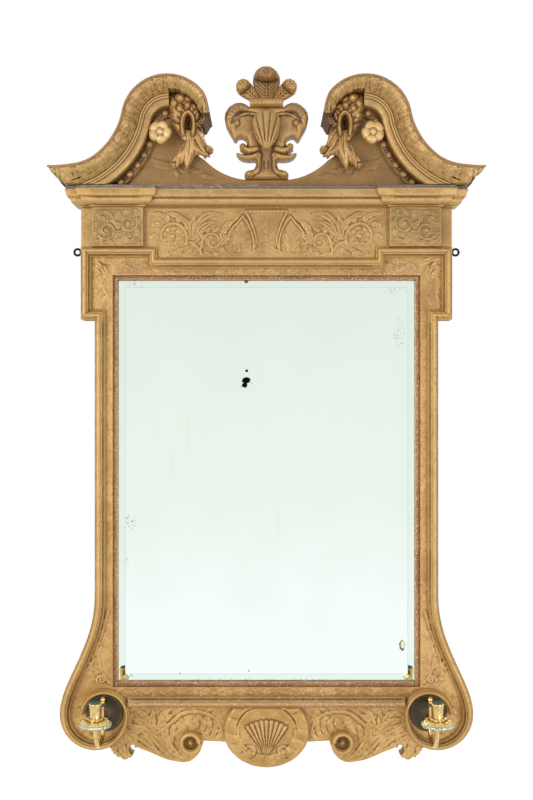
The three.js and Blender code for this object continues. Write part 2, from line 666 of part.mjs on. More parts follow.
const bandZ = SADDLE_Z + CARTOUCHE_H;
const plumeZ = bandZ + BAND_H;
const PLUME_BACK = 32;
const band = block(-BAND_HALF_W, BAND_HALF_W, bandZ, plumeZ, CARTOUCHE_BACK + 4, CARTOUCHE_FRONT + 6);
add("plume_band", band, gilt);
const plumeHalf = [
  [12, 0], [17, 12], [25, 26], [27.5, 40], [26, 52], [19, 61], [8, PLUME_H],
].map(([across, rise]) => point(across, plumeZ + rise));
add("plume_centre", board([...plumeHalf, ...mirrored(plumeHalf)], PLUME_BACK, CARTOUCHE_FRONT), gilt);
const sideFeather = [
  [-13, 0], [-18, 12], [-26, 25.5], [-28.5, 37], [-37, 44], [-50, 43], [-59, 35], [-60, 24], [-51, 14], [-38, 8],
  [-31, 0],
].map(([across, rise]) => point(across, plumeZ + rise));
const feather = board(sideFeather, PLUME_BACK, CARTOUCHE_FRONT - 4);
add("plume_left", feather.clone(), gilt);
add("plume_right", feather, gilt).scale.x = -1;

// ---------- apron ----------
const roundelZ = FOOT_Z - ROUNDEL_DROP + ROUNDEL_R_Z;
const scrollZ = FOOT_Z - APRON_DROP + 1.5;

// The lower part of an ellipse about the roundel's centre, from its left end at the given height, anticlockwise.
function roundelEdge(inset, height, steps) {
  const [halfW, halfH] = [ROUNDEL_HALF_W - inset, ROUNDEL_R_Z - inset];
  const start = Math.PI - Math.asin((height - roundelZ) / halfH);
  const end = 3 * Math.PI - start;
  return Array.from({ length: steps + 1 }, (_, i) => {
    const angle = start + ((end - start) * i) / steps;
    return point(halfW * Math.cos(angle), roundelZ + halfH * Math.sin(angle));
  });
}

function apronBoard() {
  const VOLUTE_LEAVES = 285; // angle at which the leaf lobe springs from the volute
  const fromVolute = sideEdge.filter((p, i) => {
    const angle = 180 + (360 * (i - FLARE_STEPS)) / VOLUTE_STEPS;
    return p.y < FOOT_Z && angle <= VOLUTE_LEAVES;
  });
  const lobe = [
    [9, -72], [17, -81], [28, -90], [40, -95], [49, -81], [53, -64], [63, -56],
  ].map(([across, rise]) => point(across - PLATE_X, PLATE_Z + rise));
  const wave = [
    [-100, -5], [-91, -21], [-81, -30], [-55, -38], [-38, -40], [-17, -43], [3, -38], [18, -22], [26, -2],
  ].map(([across, rise]) => point(across - SMALL_SCROLL_OUT, scrollZ + rise));
  const half = [footCrossing(), ...fromVolute, ...lobe, ...wave];
  const behindRoundel = roundelEdge(3, FOOT_Z - APRON_DROP, 20);
  return board([...half, ...behindRoundel, ...mirrored(half)], 0, FACE_DEPTH);
}

add("apron_board", apronBoard(), gilt);
add("shell_roundel", board(roundelEdge(0, FOOT_Z, 32), FACE_DEPTH, FACE_DEPTH + ROUNDEL_PROUD), gilt);

function leftApronScroll() {
  const at = (depth) => [-SMALL_SCROLL_OUT, -depth, scrollZ];
  return rod(SMALL_SCROLL_R, at(FACE_DEPTH), at(FACE_DEPTH + SMALL_SCROLL_PROUD), 32);
}
addPair("apron_scroll", leftApronScroll(), gilt);

// ---------- candle arms ----------
// Heights here are measured from the plate's centre.
const onPin = (rise) => [-PLATE_X, -PIN_DEPTH, PLATE_Z + rise];
const pinHoleR = PIN_R + PIN_PLAY;
const plateFront = FACE_DEPTH + PLATE_T;

function leftCandlePlate() {
  const disc = rod(PLATE_R, [-PLATE_X, -FACE_DEPTH, PLATE_Z], [-PLATE_X, -plateFront, PLATE_Z], 40);
  const lugs = [LUG_UPPER, LUG_LOWER].flatMap((rise) => [
    block(
      -PLATE_X - LUG_R + 2, -PLATE_X + LUG_R - 2, PLATE_Z + rise - LUG_T / 2, PLATE_Z + rise + LUG_T / 2,
      plateFront - 1, PIN_DEPTH,
    ),
    rod(LUG_R, onPin(rise - LUG_T / 2), onPin(rise + LUG_T / 2), 20),
  ]);
  return cut(join(disc, ...lugs), rod(pinHoleR, onPin(LUG_LOWER - LUG_T), onPin(LUG_UPPER + LUG_T), 20));
}
addPair("candle_plate", leftCandlePlate(), darkMetal);

const nozzleAxis = PIN_DEPTH + ARM_REACH;
const SEAT_R = 7;
const SEAT_T = 4;
function leftCandleArm() {
  const shoulderTop = LUG_LOWER - LUG_T / 2 - CUT_GAP;
  const knobFoot = LUG_UPPER + LUG_T / 2 + CUT_GAP;
  const KNOB_R = 5.5;
  const knob = new THREE.SphereGeometry(KNOB_R, 16, 10).rotateX(Math.PI / 2);
  knob.translate(-PLATE_X, -PIN_DEPTH, PLATE_Z + knobFoot + KNOB_R + 1);
  const washer = rod(KNOB_R - 1, onPin(knobFoot), onPin(knobFoot + 3), 16);
  const shoulderRing = rod(LUG_R - 1, onPin(shoulderTop - 4), onPin(shoulderTop), 16);
  const pin = rod(PIN_R, onPin(shoulderTop - 2), onPin(knobFoot + 2), 16);
  const panFoot = PAN_RISE - CUT_GAP;
  const seat = rod(
    SEAT_R, [-PLATE_X, -nozzleAxis, PLATE_Z + panFoot - SEAT_T], [-PLATE_X, -nozzleAxis, PLATE_Z + panFoot], 16,
  );
  const route = [
    [PIN_DEPTH, shoulderTop - 1],
    [PIN_DEPTH, shoulderTop - 14],
    [PIN_DEPTH + ARM_REACH * 0.1, ARM_BOTTOM + 6],
    [PIN_DEPTH + ARM_REACH * 0.38, ARM_BOTTOM],
    [PIN_DEPTH + ARM_REACH * 0.7, ARM_BOTTOM + 8],
    [PIN_DEPTH + ARM_REACH * 0.93, ARM_BOTTOM + 30],
    [nozzleAxis, panFoot - SEAT_T - 4],
    [nozzleAxis, panFoot - 1],
  ].map(([depth, rise]) => new THREE.Vector3(-PLATE_X, -depth, PLATE_Z + rise));
  const round = new THREE.Shape().absarc(0, 0, ARM_R, 0, 2 * Math.PI);
  const tube = new THREE.ExtrudeGeometry(round, {
    curveSegments: 5,
    steps: 20,
    extrudePath: new THREE.CatmullRomCurve3(route),
  });
  return join(tube, pin, washer, knob, shoulderRing, seat);
}
addPair("candle_arm", leftCandleArm(), brass);

// A turned piece set on the left nozzle's axis, its foot at the given height.
function onNozzleAxis(profile, foot, sides) {
  return turned(profile, sides).translate(-PLATE_X, -nozzleAxis, PLATE_Z + foot);
}
const panFloor = PAN_RIM - PAN_DISH;
const collarBore = NOZZLE_BORE_R + NOZZLE_WALL + CUT_GAP;
const collarR = collarBore + COLLAR_WALL;
const panProfile = [
  [0, 0],
  [SEAT_R + 3, 0],
  [PAN_R - 8, panFloor - PAN_T],
  [PAN_R - 3, panFloor - PAN_T],
  [PAN_R, PAN_RIM / 2],
  [PAN_R - 0.5, PAN_RIM - 0.5],
  [PAN_R - 3.5, PAN_RIM],
  [PAN_R - 6, panFloor],
  [collarR, panFloor],
  [collarR, panFloor + COLLAR_H],
  [collarBore, panFloor + COLLAR_H],
  [collarBore, panFloor],
  [0, panFloor],
];
addPair("drip_pan", onNozzleAxis(panProfile, PAN_RISE, 28), brass);

const nozzleR = NOZZLE_BORE_R + NOZZLE_WALL;
const nozzleFoot = PAN_RISE + panFloor + CUT_GAP;
const nozzleProfile = [
  [0, 0],
  [nozzleR, 0],
  [nozzleR, COLLAR_H + 2],
  [nozzleR - 0.6, COLLAR_H + 4],
  [nozzleR, NOZZLE_H - 5],
  [nozzleR + 1, NOZZLE_H - 3],
  [nozzleR + 1, NOZZLE_H],
  [NOZZLE_BORE_R, NOZZLE_H],
  [NOZZLE_BORE_R, NOZZLE_FLOOR],
  [0, NOZZLE_FLOOR],
];
addPair("nozzle", onNozzleAxis(nozzleProfile, nozzleFoot, 24), brass);

const stubR = NOZZLE_BORE_R - STUB_PLAY;
const stubProfile = [[0, 0], [stubR, 0], [stubR, STUB_H], [0, STUB_H]];
addPair("wax_stub", onNozzleAxis(stubProfile, nozzleFoot + NOZZLE_FLOOR + CUT_GAP, 24), wax);

// ---------- screw eyes ----------
function leftScrewEye() {
  const centreX = -EAR_X - EYE_OUT;
  const ring = new THREE.Shape(arc(centreX, eyeZ, EYE_R, 0, 352, 44));
  ring.holes.push(new THREE.Path(arc(centreX, eyeZ, EYE_HOLE_R, 0, 345, 23)));
  const eye = new THREE.ExtrudeGeometry(ring, { depth: EYE_T, bevelEnabled: false });
  eye.rotateX(Math.PI / 2).translate(0, -EYE_BACK, 0);
  const shankStart = centreX + (EYE_R + EYE_HOLE_R) / 2;
  const shank = rod(EYE_SHANK_R, [shankStart, -eyeDepth, eyeZ], [-EAR_X + EYE_SHANK_L, -eyeDepth, eyeZ], 14);
  return join(eye, shank);
}
addPair("screw_eye", leftScrewEye(), iron);

export default mirrorGroup;
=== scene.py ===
# %% [markdown]
# # A giltwood girandole mirror
# A carved and gilt wall mirror: pine carcass, carved gesso mouldings, a swan-neck pediment with a shell
# cartouche, an old bevelled plate and two brass candle arms that swivel at its foot.
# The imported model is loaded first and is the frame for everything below. Its joints and bodies carry the
# visible pieces; each carved piece here stands for the plain solid of the same name.

# %% Load the frame
import json
import math

import bpy
import numpy as np
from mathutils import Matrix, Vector
from mathutils.geometry import delaunay_2d_cdt

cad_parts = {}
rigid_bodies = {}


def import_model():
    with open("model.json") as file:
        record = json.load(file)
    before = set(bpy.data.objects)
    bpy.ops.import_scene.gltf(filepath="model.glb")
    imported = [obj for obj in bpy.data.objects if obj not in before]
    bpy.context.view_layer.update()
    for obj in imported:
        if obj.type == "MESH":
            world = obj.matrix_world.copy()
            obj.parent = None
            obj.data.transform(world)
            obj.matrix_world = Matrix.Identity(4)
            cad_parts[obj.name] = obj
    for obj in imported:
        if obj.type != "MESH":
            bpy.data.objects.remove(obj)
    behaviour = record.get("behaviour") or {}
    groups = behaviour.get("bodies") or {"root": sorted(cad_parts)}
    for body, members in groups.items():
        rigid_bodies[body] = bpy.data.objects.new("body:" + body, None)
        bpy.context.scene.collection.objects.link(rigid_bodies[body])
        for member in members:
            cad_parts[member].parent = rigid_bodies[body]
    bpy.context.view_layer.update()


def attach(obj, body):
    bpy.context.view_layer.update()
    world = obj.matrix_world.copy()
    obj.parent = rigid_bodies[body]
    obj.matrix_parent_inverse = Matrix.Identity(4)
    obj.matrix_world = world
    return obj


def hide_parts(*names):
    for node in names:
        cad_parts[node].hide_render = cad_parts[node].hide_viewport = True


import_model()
MM = 0.001

# %% [markdown]
# ## The camera
# The mirror is seen square on from a little over two metres. A long lens and an upright camera keep the
# sides of the frame parallel. The lens could be found by trial, but it follows from two real sizes: the
# distance and the height that the picture takes in at the face of the frieze.

# %% Place the camera
PICTURE_W, PICTURE_H = 533, 800
SEEN_HEIGHT = 1600 * MM  # height of the picture at the frieze's face
FACE_Y = -45 * MM
CAMERA_DISTANCE = 2.2
SENSOR = 36.0
camera_data = bpy.data.cameras.new("camera")
camera_data.sensor_fit = "VERTICAL"
camera_data.sensor_height = SENSOR
camera_data.lens = SENSOR * CAMERA_DISTANCE / SEEN_HEIGHT
camera = bpy.data.objects.new("camera", camera_data)
camera.location = (0, FACE_Y - CAMERA_DISTANCE, -276 * MM)
camera.rotation_euler = (math.radians(90), 0, 0)
bpy.context.scene.collection.objects.link(camera)
bpy.context.scene.camera = camera
print("lens", round(camera_data.lens, 1), "mm for a picture of", PICTURE_W, "x", PICTURE_H)


# %% [markdown]
# ## Nodes
# A material or a Geometry Nodes tree is a list of nodes and wires. One helper adds a node, sets its
# settings and fills its inputs, either with a value or with a wire from another node's output.

# %% One helper for every node
def add_node(tree, kind, inputs=None, **settings):
    made = tree.nodes.new(kind)
    for key, value in settings.items():
        setattr(made, key, value)
    for key, value in (inputs or {}).items():
        if isinstance(value, bpy.types.NodeSocket):
            tree.links.new(value, made.inputs[key])
        else:
            made.inputs[key].default_value = value
    return made


def linear(hex_colour):
    """An sRGB hex value as the linear colour that Blender works in."""
    parts = [int(hex_colour[i : i + 2], 16) / 255 for i in (1, 3, 5)]
    return (*[c / 12.92 if c < 0.04045 else ((c + 0.055) / 1.055) ** 2.4 for c in parts], 1.0)


# %% [markdown]
# ## Studio light
# A catalogue picture on white, with a plain pale floor. Two large soft lights stand to the left and right
# of the camera, outside what the flat glass mirrors, and a third lights the back. White behind the object
# comes from what camera, mirror and metal see of the world and not from more light on the gilding, so the
# gold keeps its depth.

# %% World, lamps and floor
scene = bpy.context.scene
scene.view_settings.view_transform = "Standard"
world = bpy.data.worlds.new("studio")
scene.world = world
world.use_nodes = True
sky = world.node_tree
sky.nodes.clear()
AMBIENT = 0.42
path_kind = add_node(sky, "ShaderNodeLightPath")
seen = add_node(sky, "ShaderNodeMath", {0: path_kind.outputs["Is Camera Ray"],
                                        1: path_kind.outputs["Is Glossy Ray"]}, operation="MAXIMUM")
seen = add_node(sky, "ShaderNodeMath", {0: seen.outputs[0], 1: path_kind.outputs["Is Transmission Ray"]},
                operation="MAXIMUM")
dim = add_node(sky, "ShaderNodeBackground", {"Color": linear("#FFFCF6"), "Strength": AMBIENT})
white = add_node(sky, "ShaderNodeBackground", {"Color": (1, 1, 1, 1), "Strength": 1.0})
both = add_node(sky, "ShaderNodeMixShader", {0: seen.outputs[0], 1: dim.outputs[0], 2: white.outputs[0]})
add_node(sky, "ShaderNodeOutputWorld", {"Surface": both.outputs[0]})


def softbox(name, place, aim, size, power, colour):
    data = bpy.data.lights.new(name, "AREA")
    data.shape, data.size, data.energy, data.color = "SQUARE", size, power, linear(colour)[:3]
    lamp = bpy.data.objects.new(name, data)
    lamp.location = place
    lamp.rotation_euler = (Vector(aim) - Vector(place)).to_track_quat("-Z", "Y").to_euler()
    scene.collection.objects.link(lamp)


WATTS = 42
softbox("key_softbox", (-1.8, -2.5, -0.15), (0, 0, -0.6), 1.5, WATTS, "#FFF9F0")
softbox("fill_softbox", (1.8, -2.6, -1.15), (0, 0, -0.85), 1.5, WATTS, "#FCFBFF")
softbox("back_softbox", (0.6, 2.6, 1.6), (0, 0, -0.3), 1.6, WATTS, "#FFFFFF")

FLOOR_Z, FLOOR_R = -1.35, 2.6
floor_mesh = bpy.data.meshes.new("floor")
ring = [(FLOOR_R * math.cos(a), FLOOR_R * math.sin(a), FLOOR_Z) for a in np.linspace(0, 2 * math.pi, 96)[:-1]]
floor_mesh.from_pydata(ring, [], [range(len(ring))])
floor = bpy.data.objects.new("floor", floor_mesh)
scene.collection.objects.link(floor)
paint = bpy.data.materials.new("white_studio_floor")
paint.use_nodes = True
tree = paint.node_tree
tree.nodes.clear()
rays = add_node(tree, "ShaderNodeLightPath")
card = add_node(tree, "ShaderNodeBsdfDiffuse", {"Color": linear("#E6E4E0")})
glow = add_node(tree, "ShaderNodeEmission", {"Color": (1, 1, 1, 1), "Strength": 0.55})
lit = add_node(tree, "ShaderNodeAddShader", {0: card.outputs[0], 1: glow.outputs[0]})
plain = add_node(tree, "ShaderNodeEmission", {"Color": (1, 1, 1, 1), "Strength": 1.0})
chosen = add_node(tree, "ShaderNodeMixShader", {0: rays.outputs["Is Camera Ray"], 1: card.outputs[0],
                                                2: lit.outputs[0]})
chosen = add_node(tree, "ShaderNodeMixShader", {0: rays.outputs["Is Glossy Ray"], 1: chosen.outputs[0],
                                                2: plain.outputs[0]})
add_node(tree, "ShaderNodeOutputMaterial", {"Surface": chosen.outputs[0]})
floor_mesh.materials.append(paint)
print("studio: 3 softboxes, floor at", FLOOR_Z, "m")


# %% [markdown]
# ## The gilding
# Water gilding: thin gold leaf over red clay bole over white gesso, on pine. With age the leaf rubs
# through to the red on high places, chips back to white gesso on sharp edges, and dirt stays in the
# hollows. Each mesh carries two measurements of its own shape, `near` and `far`: how deep each point lies
# in a small and in a wide hollow, in millimetres, negative on a ridge. The material mixes its layers by
# those and by noises whose sizes are real ones, so the wear is where hands and dusters have been. The same
# measurements also paint light into the colour: the hollows are darkened by painted shade as well as by
# dirt, and the ridges are lightened by a painted highlight.

# %% Noise of a real size, steps and mixes
def pattern(tree, size_mm, detail=3.0, roughness=0.55, stretch=(1, 1, 1), at=(0, 0, 0), distort=0.0):
    """A noise with features of about size_mm, fixed to the object."""
    where = add_node(tree, "ShaderNodeTexCoord")
    fitted = add_node(tree, "ShaderNodeMapping", {"Vector": where.outputs["Object"], "Location": at,
                                                  "Scale": stretch})
    noise = add_node(tree, "ShaderNodeTexNoise", {
        "Vector": fitted.outputs[0], "Scale": 1 / (size_mm * MM), "Detail": detail,
        "Roughness": roughness, "Distortion": distort})
    return noise.outputs["Fac"]


def step(tree, value, low, high, to_low=0.0, to_high=1.0):
    """A smooth step of a value: to_low up to low, to_high from high on."""
    return add_node(tree, "ShaderNodeMapRange", {
        "Value": value, "From Min": low, "From Max": high, "To Min": to_low, "To Max": to_high,
    }, interpolation_type="SMOOTHSTEP").outputs["Result"]


def maths(tree, operation, first, second=0.5):
    return add_node(tree, "ShaderNodeMath", {0: first, 1: second}, operation=operation).outputs[0]


def weighted(tree, *terms, plus=0.0):
    """The sum of value times share over the (value, share) terms, and a constant."""
    total = plus
    for value, share in terms:
        total = add_node(tree, "ShaderNodeMath", {0: value, 1: share, 2: total},
                         operation="MULTIPLY_ADD").outputs[0]
    return total


def blend(tree, share, under, over, kind="MIX"):
    """One colour laid over another by a share from 0 to 1."""
    mix = add_node(tree, "ShaderNodeMix", data_type="RGBA", blend_type=kind)
    sockets = {"Factor": share, "A": under, "B": over}
    for socket in mix.inputs:
        if socket.enabled and socket.name in sockets:
            value = sockets[socket.name]
            if isinstance(value, bpy.types.NodeSocket):
                tree.links.new(value, socket)
            else:
                socket.default_value = value
    return next(s for s in mix.outputs if s.enabled)


def measured(tree, name):
    return add_node(tree, "ShaderNodeAttribute", attribute_name=name).outputs["Fac"]


def new_material(name):
    made = bpy.data.materials.new(name)
    made.use_nodes = True
    made.node_tree.nodes.clear()
    return made, made.node_tree


def finish_material(tree, colour, roughness, metallic=0.0, bump=(), **fixed):
    """The shader itself. bump holds (height in mm, pattern) pairs."""
    shader = add_node(tree, "ShaderNodeBsdfPrincipled", {"Base Color": colour, "Roughness": roughness,
                                                         "Metallic": metallic})
    for key, value in fixed.items():
        shader.inputs[key.replace("_", " ")].default_value = value
    normal = None
    for height_mm, source in bump:
        bumped = add_node(tree, "ShaderNodeBump", {"Height": source, "Distance": height_mm * MM,
                                                   "Strength": 1.0})
        if normal:
            tree.links.new(normal, bumped.inputs["Normal"])
        normal = bumped.outputs[0]
    if normal:
        tree.links.new(normal, shader.inputs["Normal"])
    add_node(tree, "ShaderNodeOutputMaterial", {"Surface": shader.outputs[0]})


# %% [markdown]
# Every gilt finish comes from one recipe, laid on in order: two tones of leaf, brown spots, a painted
# shade that darkens the upper parts, a painted highlight on the ridges, dirt and painted shade in the
# hollows, the red bole where it is rubbed and the white gesso where it is chipped. A painted picture could
# do the same for one view only; the recipe holds from every side, and a few shares make each part of the
# frame a little different.

# %% Worn water gilding
LEAF_METAL = 0.34  # leaf over clay under a veil of dirt reflects less than clean metal


def water_gilding(name, light, middle, deep, rub=0.0, chips=0.0, extra_shade_and_dirt=0.0, top_shade=0.30, foot=None):
    """Gold leaf on bole on gesso. rub and chips raise the share of red and of white. The next share raises the
    darkening of the hollows, which is dirt and painted shade together, and the one after it darkens the upper
    parts, a painted shade. Below the height foot (m) the ground has come off in patches."""
    made, tree = new_material(name)
    near, far = measured(tree, "near"), measured(tree, "far")
    broad = pattern(tree, 90, 2.0)
    cloud = pattern(tree, 22, 4.0, at=(0.3, 0.1, 0.7))
    patch = pattern(tree, 7, 5.0, 0.62, at=(0.9, 0.2, 0.4))
    grain = pattern(tree, 2.8, 3.0, 0.6, at=(0.2, 0.6, 0.1))
    tone = weighted(tree, (broad, 0.5), (cloud, 0.5), (grain, 0.5), plus=-0.25)
    gold = blend(tree, step(tree, tone, 0.40, 0.58), linear(middle), linear(light))
    spot = pattern(tree, 4.5, 4.0, 0.7, at=(0.5, 0.8, 0.2))
    gold = blend(tree, step(tree, spot, 0.55, 0.72, 0.0, 0.42), gold, linear("#75613C"))
    where = add_node(tree, "ShaderNodeTexCoord").outputs["Object"]
    up = add_node(tree, "ShaderNodeSeparateXYZ", {0: where}).outputs["Z"]
    # painted shade: the upper parts are darkened towards a dull brown
    gold = blend(tree, step(tree, up, -0.25, 0.12, 0.0, top_shade), gold, linear("#7A6848"))
    ridge = step(tree, maths(tree, "MULTIPLY", near, -1.0), 0.03, 0.5)
    # painted highlight: the ridges are lightened towards the light leaf colour
    gold = blend(tree, maths(tree, "MULTIPLY", ridge, 0.6), gold, linear(light))
    # painted shade and dirt: the hollows are darkened as painted shade along with their dirt, and dirt lies in
    # patches of its own
    shade = weighted(tree, (near, 1.1), (far, 0.42), (patch, 1.1), plus=-0.572)
    gold = blend(tree, step(tree, shade, 0.02 - extra_shade_and_dirt, 0.75 - extra_shade_and_dirt, 0.0, 0.85), gold, linear(deep))
    # bole: on ridges and in worn patches
    worn = weighted(tree, (patch, 1.0), (ridge, 0.05), (cloud, 0.35))
    red = step(tree, worn, 0.80 - rub, 0.98 - rub, 0.0, 0.72)
    gold = blend(tree, red, gold, linear("#9C5E38"))
    # gesso: small chips, most of them on edges
    chip = weighted(tree, (grain, 1.0), (ridge, 0.04), (patch, 0.30))
    lost = step(tree, chip, 0.94 - chips, 0.98 - chips, 0.0, 0.9)
    gold = blend(tree, lost, gold, linear("#EADFCC"))
    if foot is not None:
        gone = maths(tree, "MULTIPLY", step(tree, up, foot - 0.008, foot, 1.0, 0.0),
                     step(tree, cloud, 0.54, 0.58))
        gold = blend(tree, gone, gold, linear("#E6D6BC"))
    rough = add_node(tree, "ShaderNodeMapRange", {"Value": patch, "From Min": 0.3, "From Max": 0.7,
                                                  "To Min": 0.34, "To Max": 0.54}).outputs[0]
    rough = weighted(tree, (lost, 0.3), plus=rough)
    finish_material(tree, gold, rough, LEAF_METAL, bump=[(0.5, patch), (0.3, grain)])
    return made


gilding = water_gilding("worn_water_gilding", "#CBA666", "#B1884C", "#5E4224", rub=0.01, chips=0.06)
plain_gilding = water_gilding("dull_water_gilding", "#CCA869", "#B38A4F", "#664928", rub=0.03, chips=0.06)
stile_gilding = water_gilding("stile_water_gilding", "#CAA468", "#B0864D", "#60452A", rub=0.06, chips=0.08)
rubbed_gilding = water_gilding("rubbed_water_gilding", "#C8A167", "#A67E49", "#573C24", rub=0.065,
                               chips=0.15, extra_shade_and_dirt=0.04)
block_gilding = water_gilding("block_water_gilding", "#BD9A60", "#9D7A46", "#5A4326", rub=0.03,
                              chips=0.085, extra_shade_and_dirt=0.05)
pale_gilding = water_gilding("pale_new_gilding", "#E4C68C", "#D2AE72", "#8A6A3C", top_shade=0.04)


# %% [markdown]
# The wood behind the gilding is old pine, a brown that has gone grey with dust, with long grain lines a
# few millimetres apart. The sides of the carcass were washed over with yellow ochre, as they were seldom
# seen, and only the front was gilded.

# %% Old pine and ochre wash
def old_pine(name, light, dark, along=(1, 0, 0)):
    made, tree = new_material(name)
    squeeze = tuple(0.045 if a else 1.0 for a in along)
    lines = pattern(tree, 5, 5.0, 0.6, stretch=squeeze, distort=0.6)
    broad = pattern(tree, 60, 2.0, stretch=tuple(0.25 if a else 1.0 for a in along))
    dust = pattern(tree, 3, 4.0, 0.7)
    wood = blend(tree, step(tree, lines, 0.36, 0.66), linear(light), linear(dark))
    wood = blend(tree, step(tree, broad, 0.4, 0.7, 0.0, 0.45), wood, linear(dark))
    wood = blend(tree, step(tree, dust, 0.5, 0.75, 0.0, 0.35), wood, linear("#B7AD98"))
    finish_material(tree, wood, 0.82, bump=[(0.3, lines), (0.1, dust)])
    return made


def ochre_wash():
    made, tree = new_material("yellow_ochre_wash")
    brushed = pattern(tree, 12, 4.0, 0.6, stretch=(1, 1, 0.2))
    specks = pattern(tree, 2.5, 4.0, 0.7)
    colour = blend(tree, step(tree, brushed, 0.35, 0.65), linear("#B08A4E"), linear("#8C6A3A"))
    colour = blend(tree, step(tree, specks, 0.62, 0.74, 0.0, 0.6), colour, linear("#5A4630"))
    colour = blend(tree, step(tree, measured(tree, "near"), -0.35, -0.1, 0.5, 0.0), colour,
                   linear("#CBB490"))
    finish_material(tree, colour, 0.78, bump=[(0.25, brushed), (0.12, specks)])
    return made


pine = old_pine("old_pine_boards", "#A98A62", "#7B5F3F")
upright_pine = old_pine("old_pine_stiles", "#9C7D58", "#6F5539", along=(0, 0, 1))
ochre = ochre_wash()
grey_board = water_gilding("grey_board_edge", "#756D60", "#585146", "#3A3126", rub=-0.1, chips=0.09)
print("gilding and wood finishes made")


# %% [markdown]
# ## Meshes
# A shape this rich in carving could be sculpted by hand, but each of its parts follows a rule: a moulding
# is one section run along a path, a carved board is a height above a flat outline, a turned piece is a
# profile spun round an axis. So the meshes are computed as arrays of points and handed to Blender at once.
# Points are written as the maker draws them, in millimetres on the mirror's front: x to the right, z up,
# and the depth forward from the wall.

# %% Piece builder
def smooth_step(t):
    t = np.clip(t, 0, 1)
    return t * t * (3 - 2 * t)


def measure_hollows(mesh, rounds=(5, 28)):
    """Writes near and far: how deep each point lies below its smoothed surroundings, in mm."""
    count = len(mesh.vertices)
    spots = np.empty(count * 3)
    mesh.vertices.foreach_get("co", spots)
    spots = spots.reshape(-1, 3) / MM
    normals = np.empty(count * 3)
    mesh.vertices.foreach_get("normal", normals)
    normals = normals.reshape(-1, 3)
    ends = np.empty(len(mesh.edges) * 2, np.int64)
    mesh.edges.foreach_get("vertices", ends)
    a, b = ends[0::2], ends[1::2]
    weight = 1 / np.maximum(np.linalg.norm(spots[a] - spots[b], axis=1), 0.3) ** 1.5
    total = np.bincount(a, weight, count) + np.bincount(b, weight, count) + 1e-9
    soft = spots.copy()
    for done in range(1, max(rounds) + 1):
        moved = np.empty_like(soft)
        for k in range(3):
            moved[:, k] = (np.bincount(a, weight * soft[b, k], count)
                           + np.bincount(b, weight * soft[a, k], count)) / total
        soft = moved
        if done in rounds:
            depth = np.einsum("ij,ij->i", soft - spots, normals)
            label = "near" if done == rounds[0] else "far"
            layer = mesh.attributes.new(label, "FLOAT", "POINT")
            layer.data.foreach_set("value", np.clip(depth, -4, 4).astype(np.float32))


made_faces = 0


def piece(name, points, faces, finishes, replaces, body="root", slot="gilt_gesso", finish_of=None):
    """A closed piece from points (x, z, depth) in mm, in place of the node it replaces. finishes is one
    material or a list; finish_of gives each face's place in it from its centre and its normal."""
    global made_faces
    points = np.asarray(points, float)
    mesh = bpy.data.meshes.new(name)
    world_points = np.column_stack([points[:, 0], -points[:, 2], points[:, 1]]) * MM
    mesh.from_pydata(world_points.tolist(), [], faces)
    mesh.calc_loop_triangles()
    corners = np.empty(len(mesh.loop_triangles) * 3, np.int64)
    mesh.loop_triangles.foreach_get("vertices", corners)
    p, q, r = (world_points[corners[k::3]] for k in range(3))
    if np.einsum("ij,ij->", p, np.cross(q, r)) < 0:
        mesh.flip_normals()
    mesh.update()
    measure_hollows(mesh)
    for finish in finishes if isinstance(finishes, list) else [finishes]:
        mesh.materials.append(finish)
    if finish_of is not None:
        count = len(mesh.polygons)
        centres, normals = np.empty(count * 3), np.empty(count * 3)
        mesh.polygons.foreach_get("center", centres)
        mesh.polygons.foreach_get("normal", normals)
        chosen = finish_of(centres.reshape(-1, 3) / MM, normals.reshape(-1, 3))
        mesh.polygons.foreach_set("material_index", chosen.astype(np.int32))
    mesh.polygons.foreach_set("use_smooth", np.ones(len(mesh.polygons), bool))
    mesh.set_sharp_from_angle(angle=math.radians(58))
    made = bpy.data.objects.new(name, mesh)
    scene.collection.objects.link(made)
    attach(made, body)
    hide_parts(replaces)
    made_faces += len(mesh.loop_triangles)
    return made


def pair(name, points, faces, finishes, arm=False, **more):
    """A left-hand piece and its mirror image, each in place of the node of the same name."""
    points = np.asarray(points, float)
    for side, turn in (("left", 1), ("right", -1)):
        ending = "carved" if more.get("slot", "gilt_gesso") == "gilt_gesso" else "made"
        piece(f"{side}_{name}_{ending}", points * (turn, 1, 1), faces, finishes,
              body=f"{side}_arm" if arm else "root", replaces=f"{side}_{name}", **more)


def gilt_front(centres, normals):
    """Gilding in front, ochre wash on the sides, bare wood behind."""
    return np.where(normals[:, 1] > 0.7, 2, np.where((normals[:, 1] > -0.25) & (centres[:, 1] > -30), 1, 0))


gilt_carcass = [plain_gilding, ochre, upright_pine]


# %% [markdown]
# ## Mouldings
# A moulding is cut with a scratch stock or run in gesso: one section drawn along an edge, mitred at each
# corner. Blender's Curve to Mesh could sweep it, but it doesn't keep the width in a mitre, so the section
# is carried along the path here. The real mouldings are carved after they are run, so `carve` gives how
# far each point of each ring is raised along the section's own normal.

# %% Sweep a section along a path
def finer(path, longest):
    """The path with points no further apart than longest."""
    path = np.asarray(path, float)
    made = [path[0]]
    for a, b in zip(path[:-1], path[1:]):
        count = max(1, int(np.ceil(np.linalg.norm(b - a) / longest)))
        made.extend(a + (b - a) * (i + 1) / count for i in range(count))
    return np.array(made)


def lengths(path):
    return np.concatenate([[0], np.cumsum(np.linalg.norm(np.diff(path, axis=0), axis=1))])


def between_rings(rows, n):
    """Quads between rows of n points each, and a face at either end."""
    i = np.arange(rows - 1)[:, None] * n
    k = np.arange(n)[None]
    k2 = (k + 1) % n
    faces = np.stack([i + k, i + k2, i + n + k2, i + n + k], axis=2).reshape(-1, 4).tolist()
    return faces + [list(range(n))[::-1], list(range((rows - 1) * n, rows * n))]


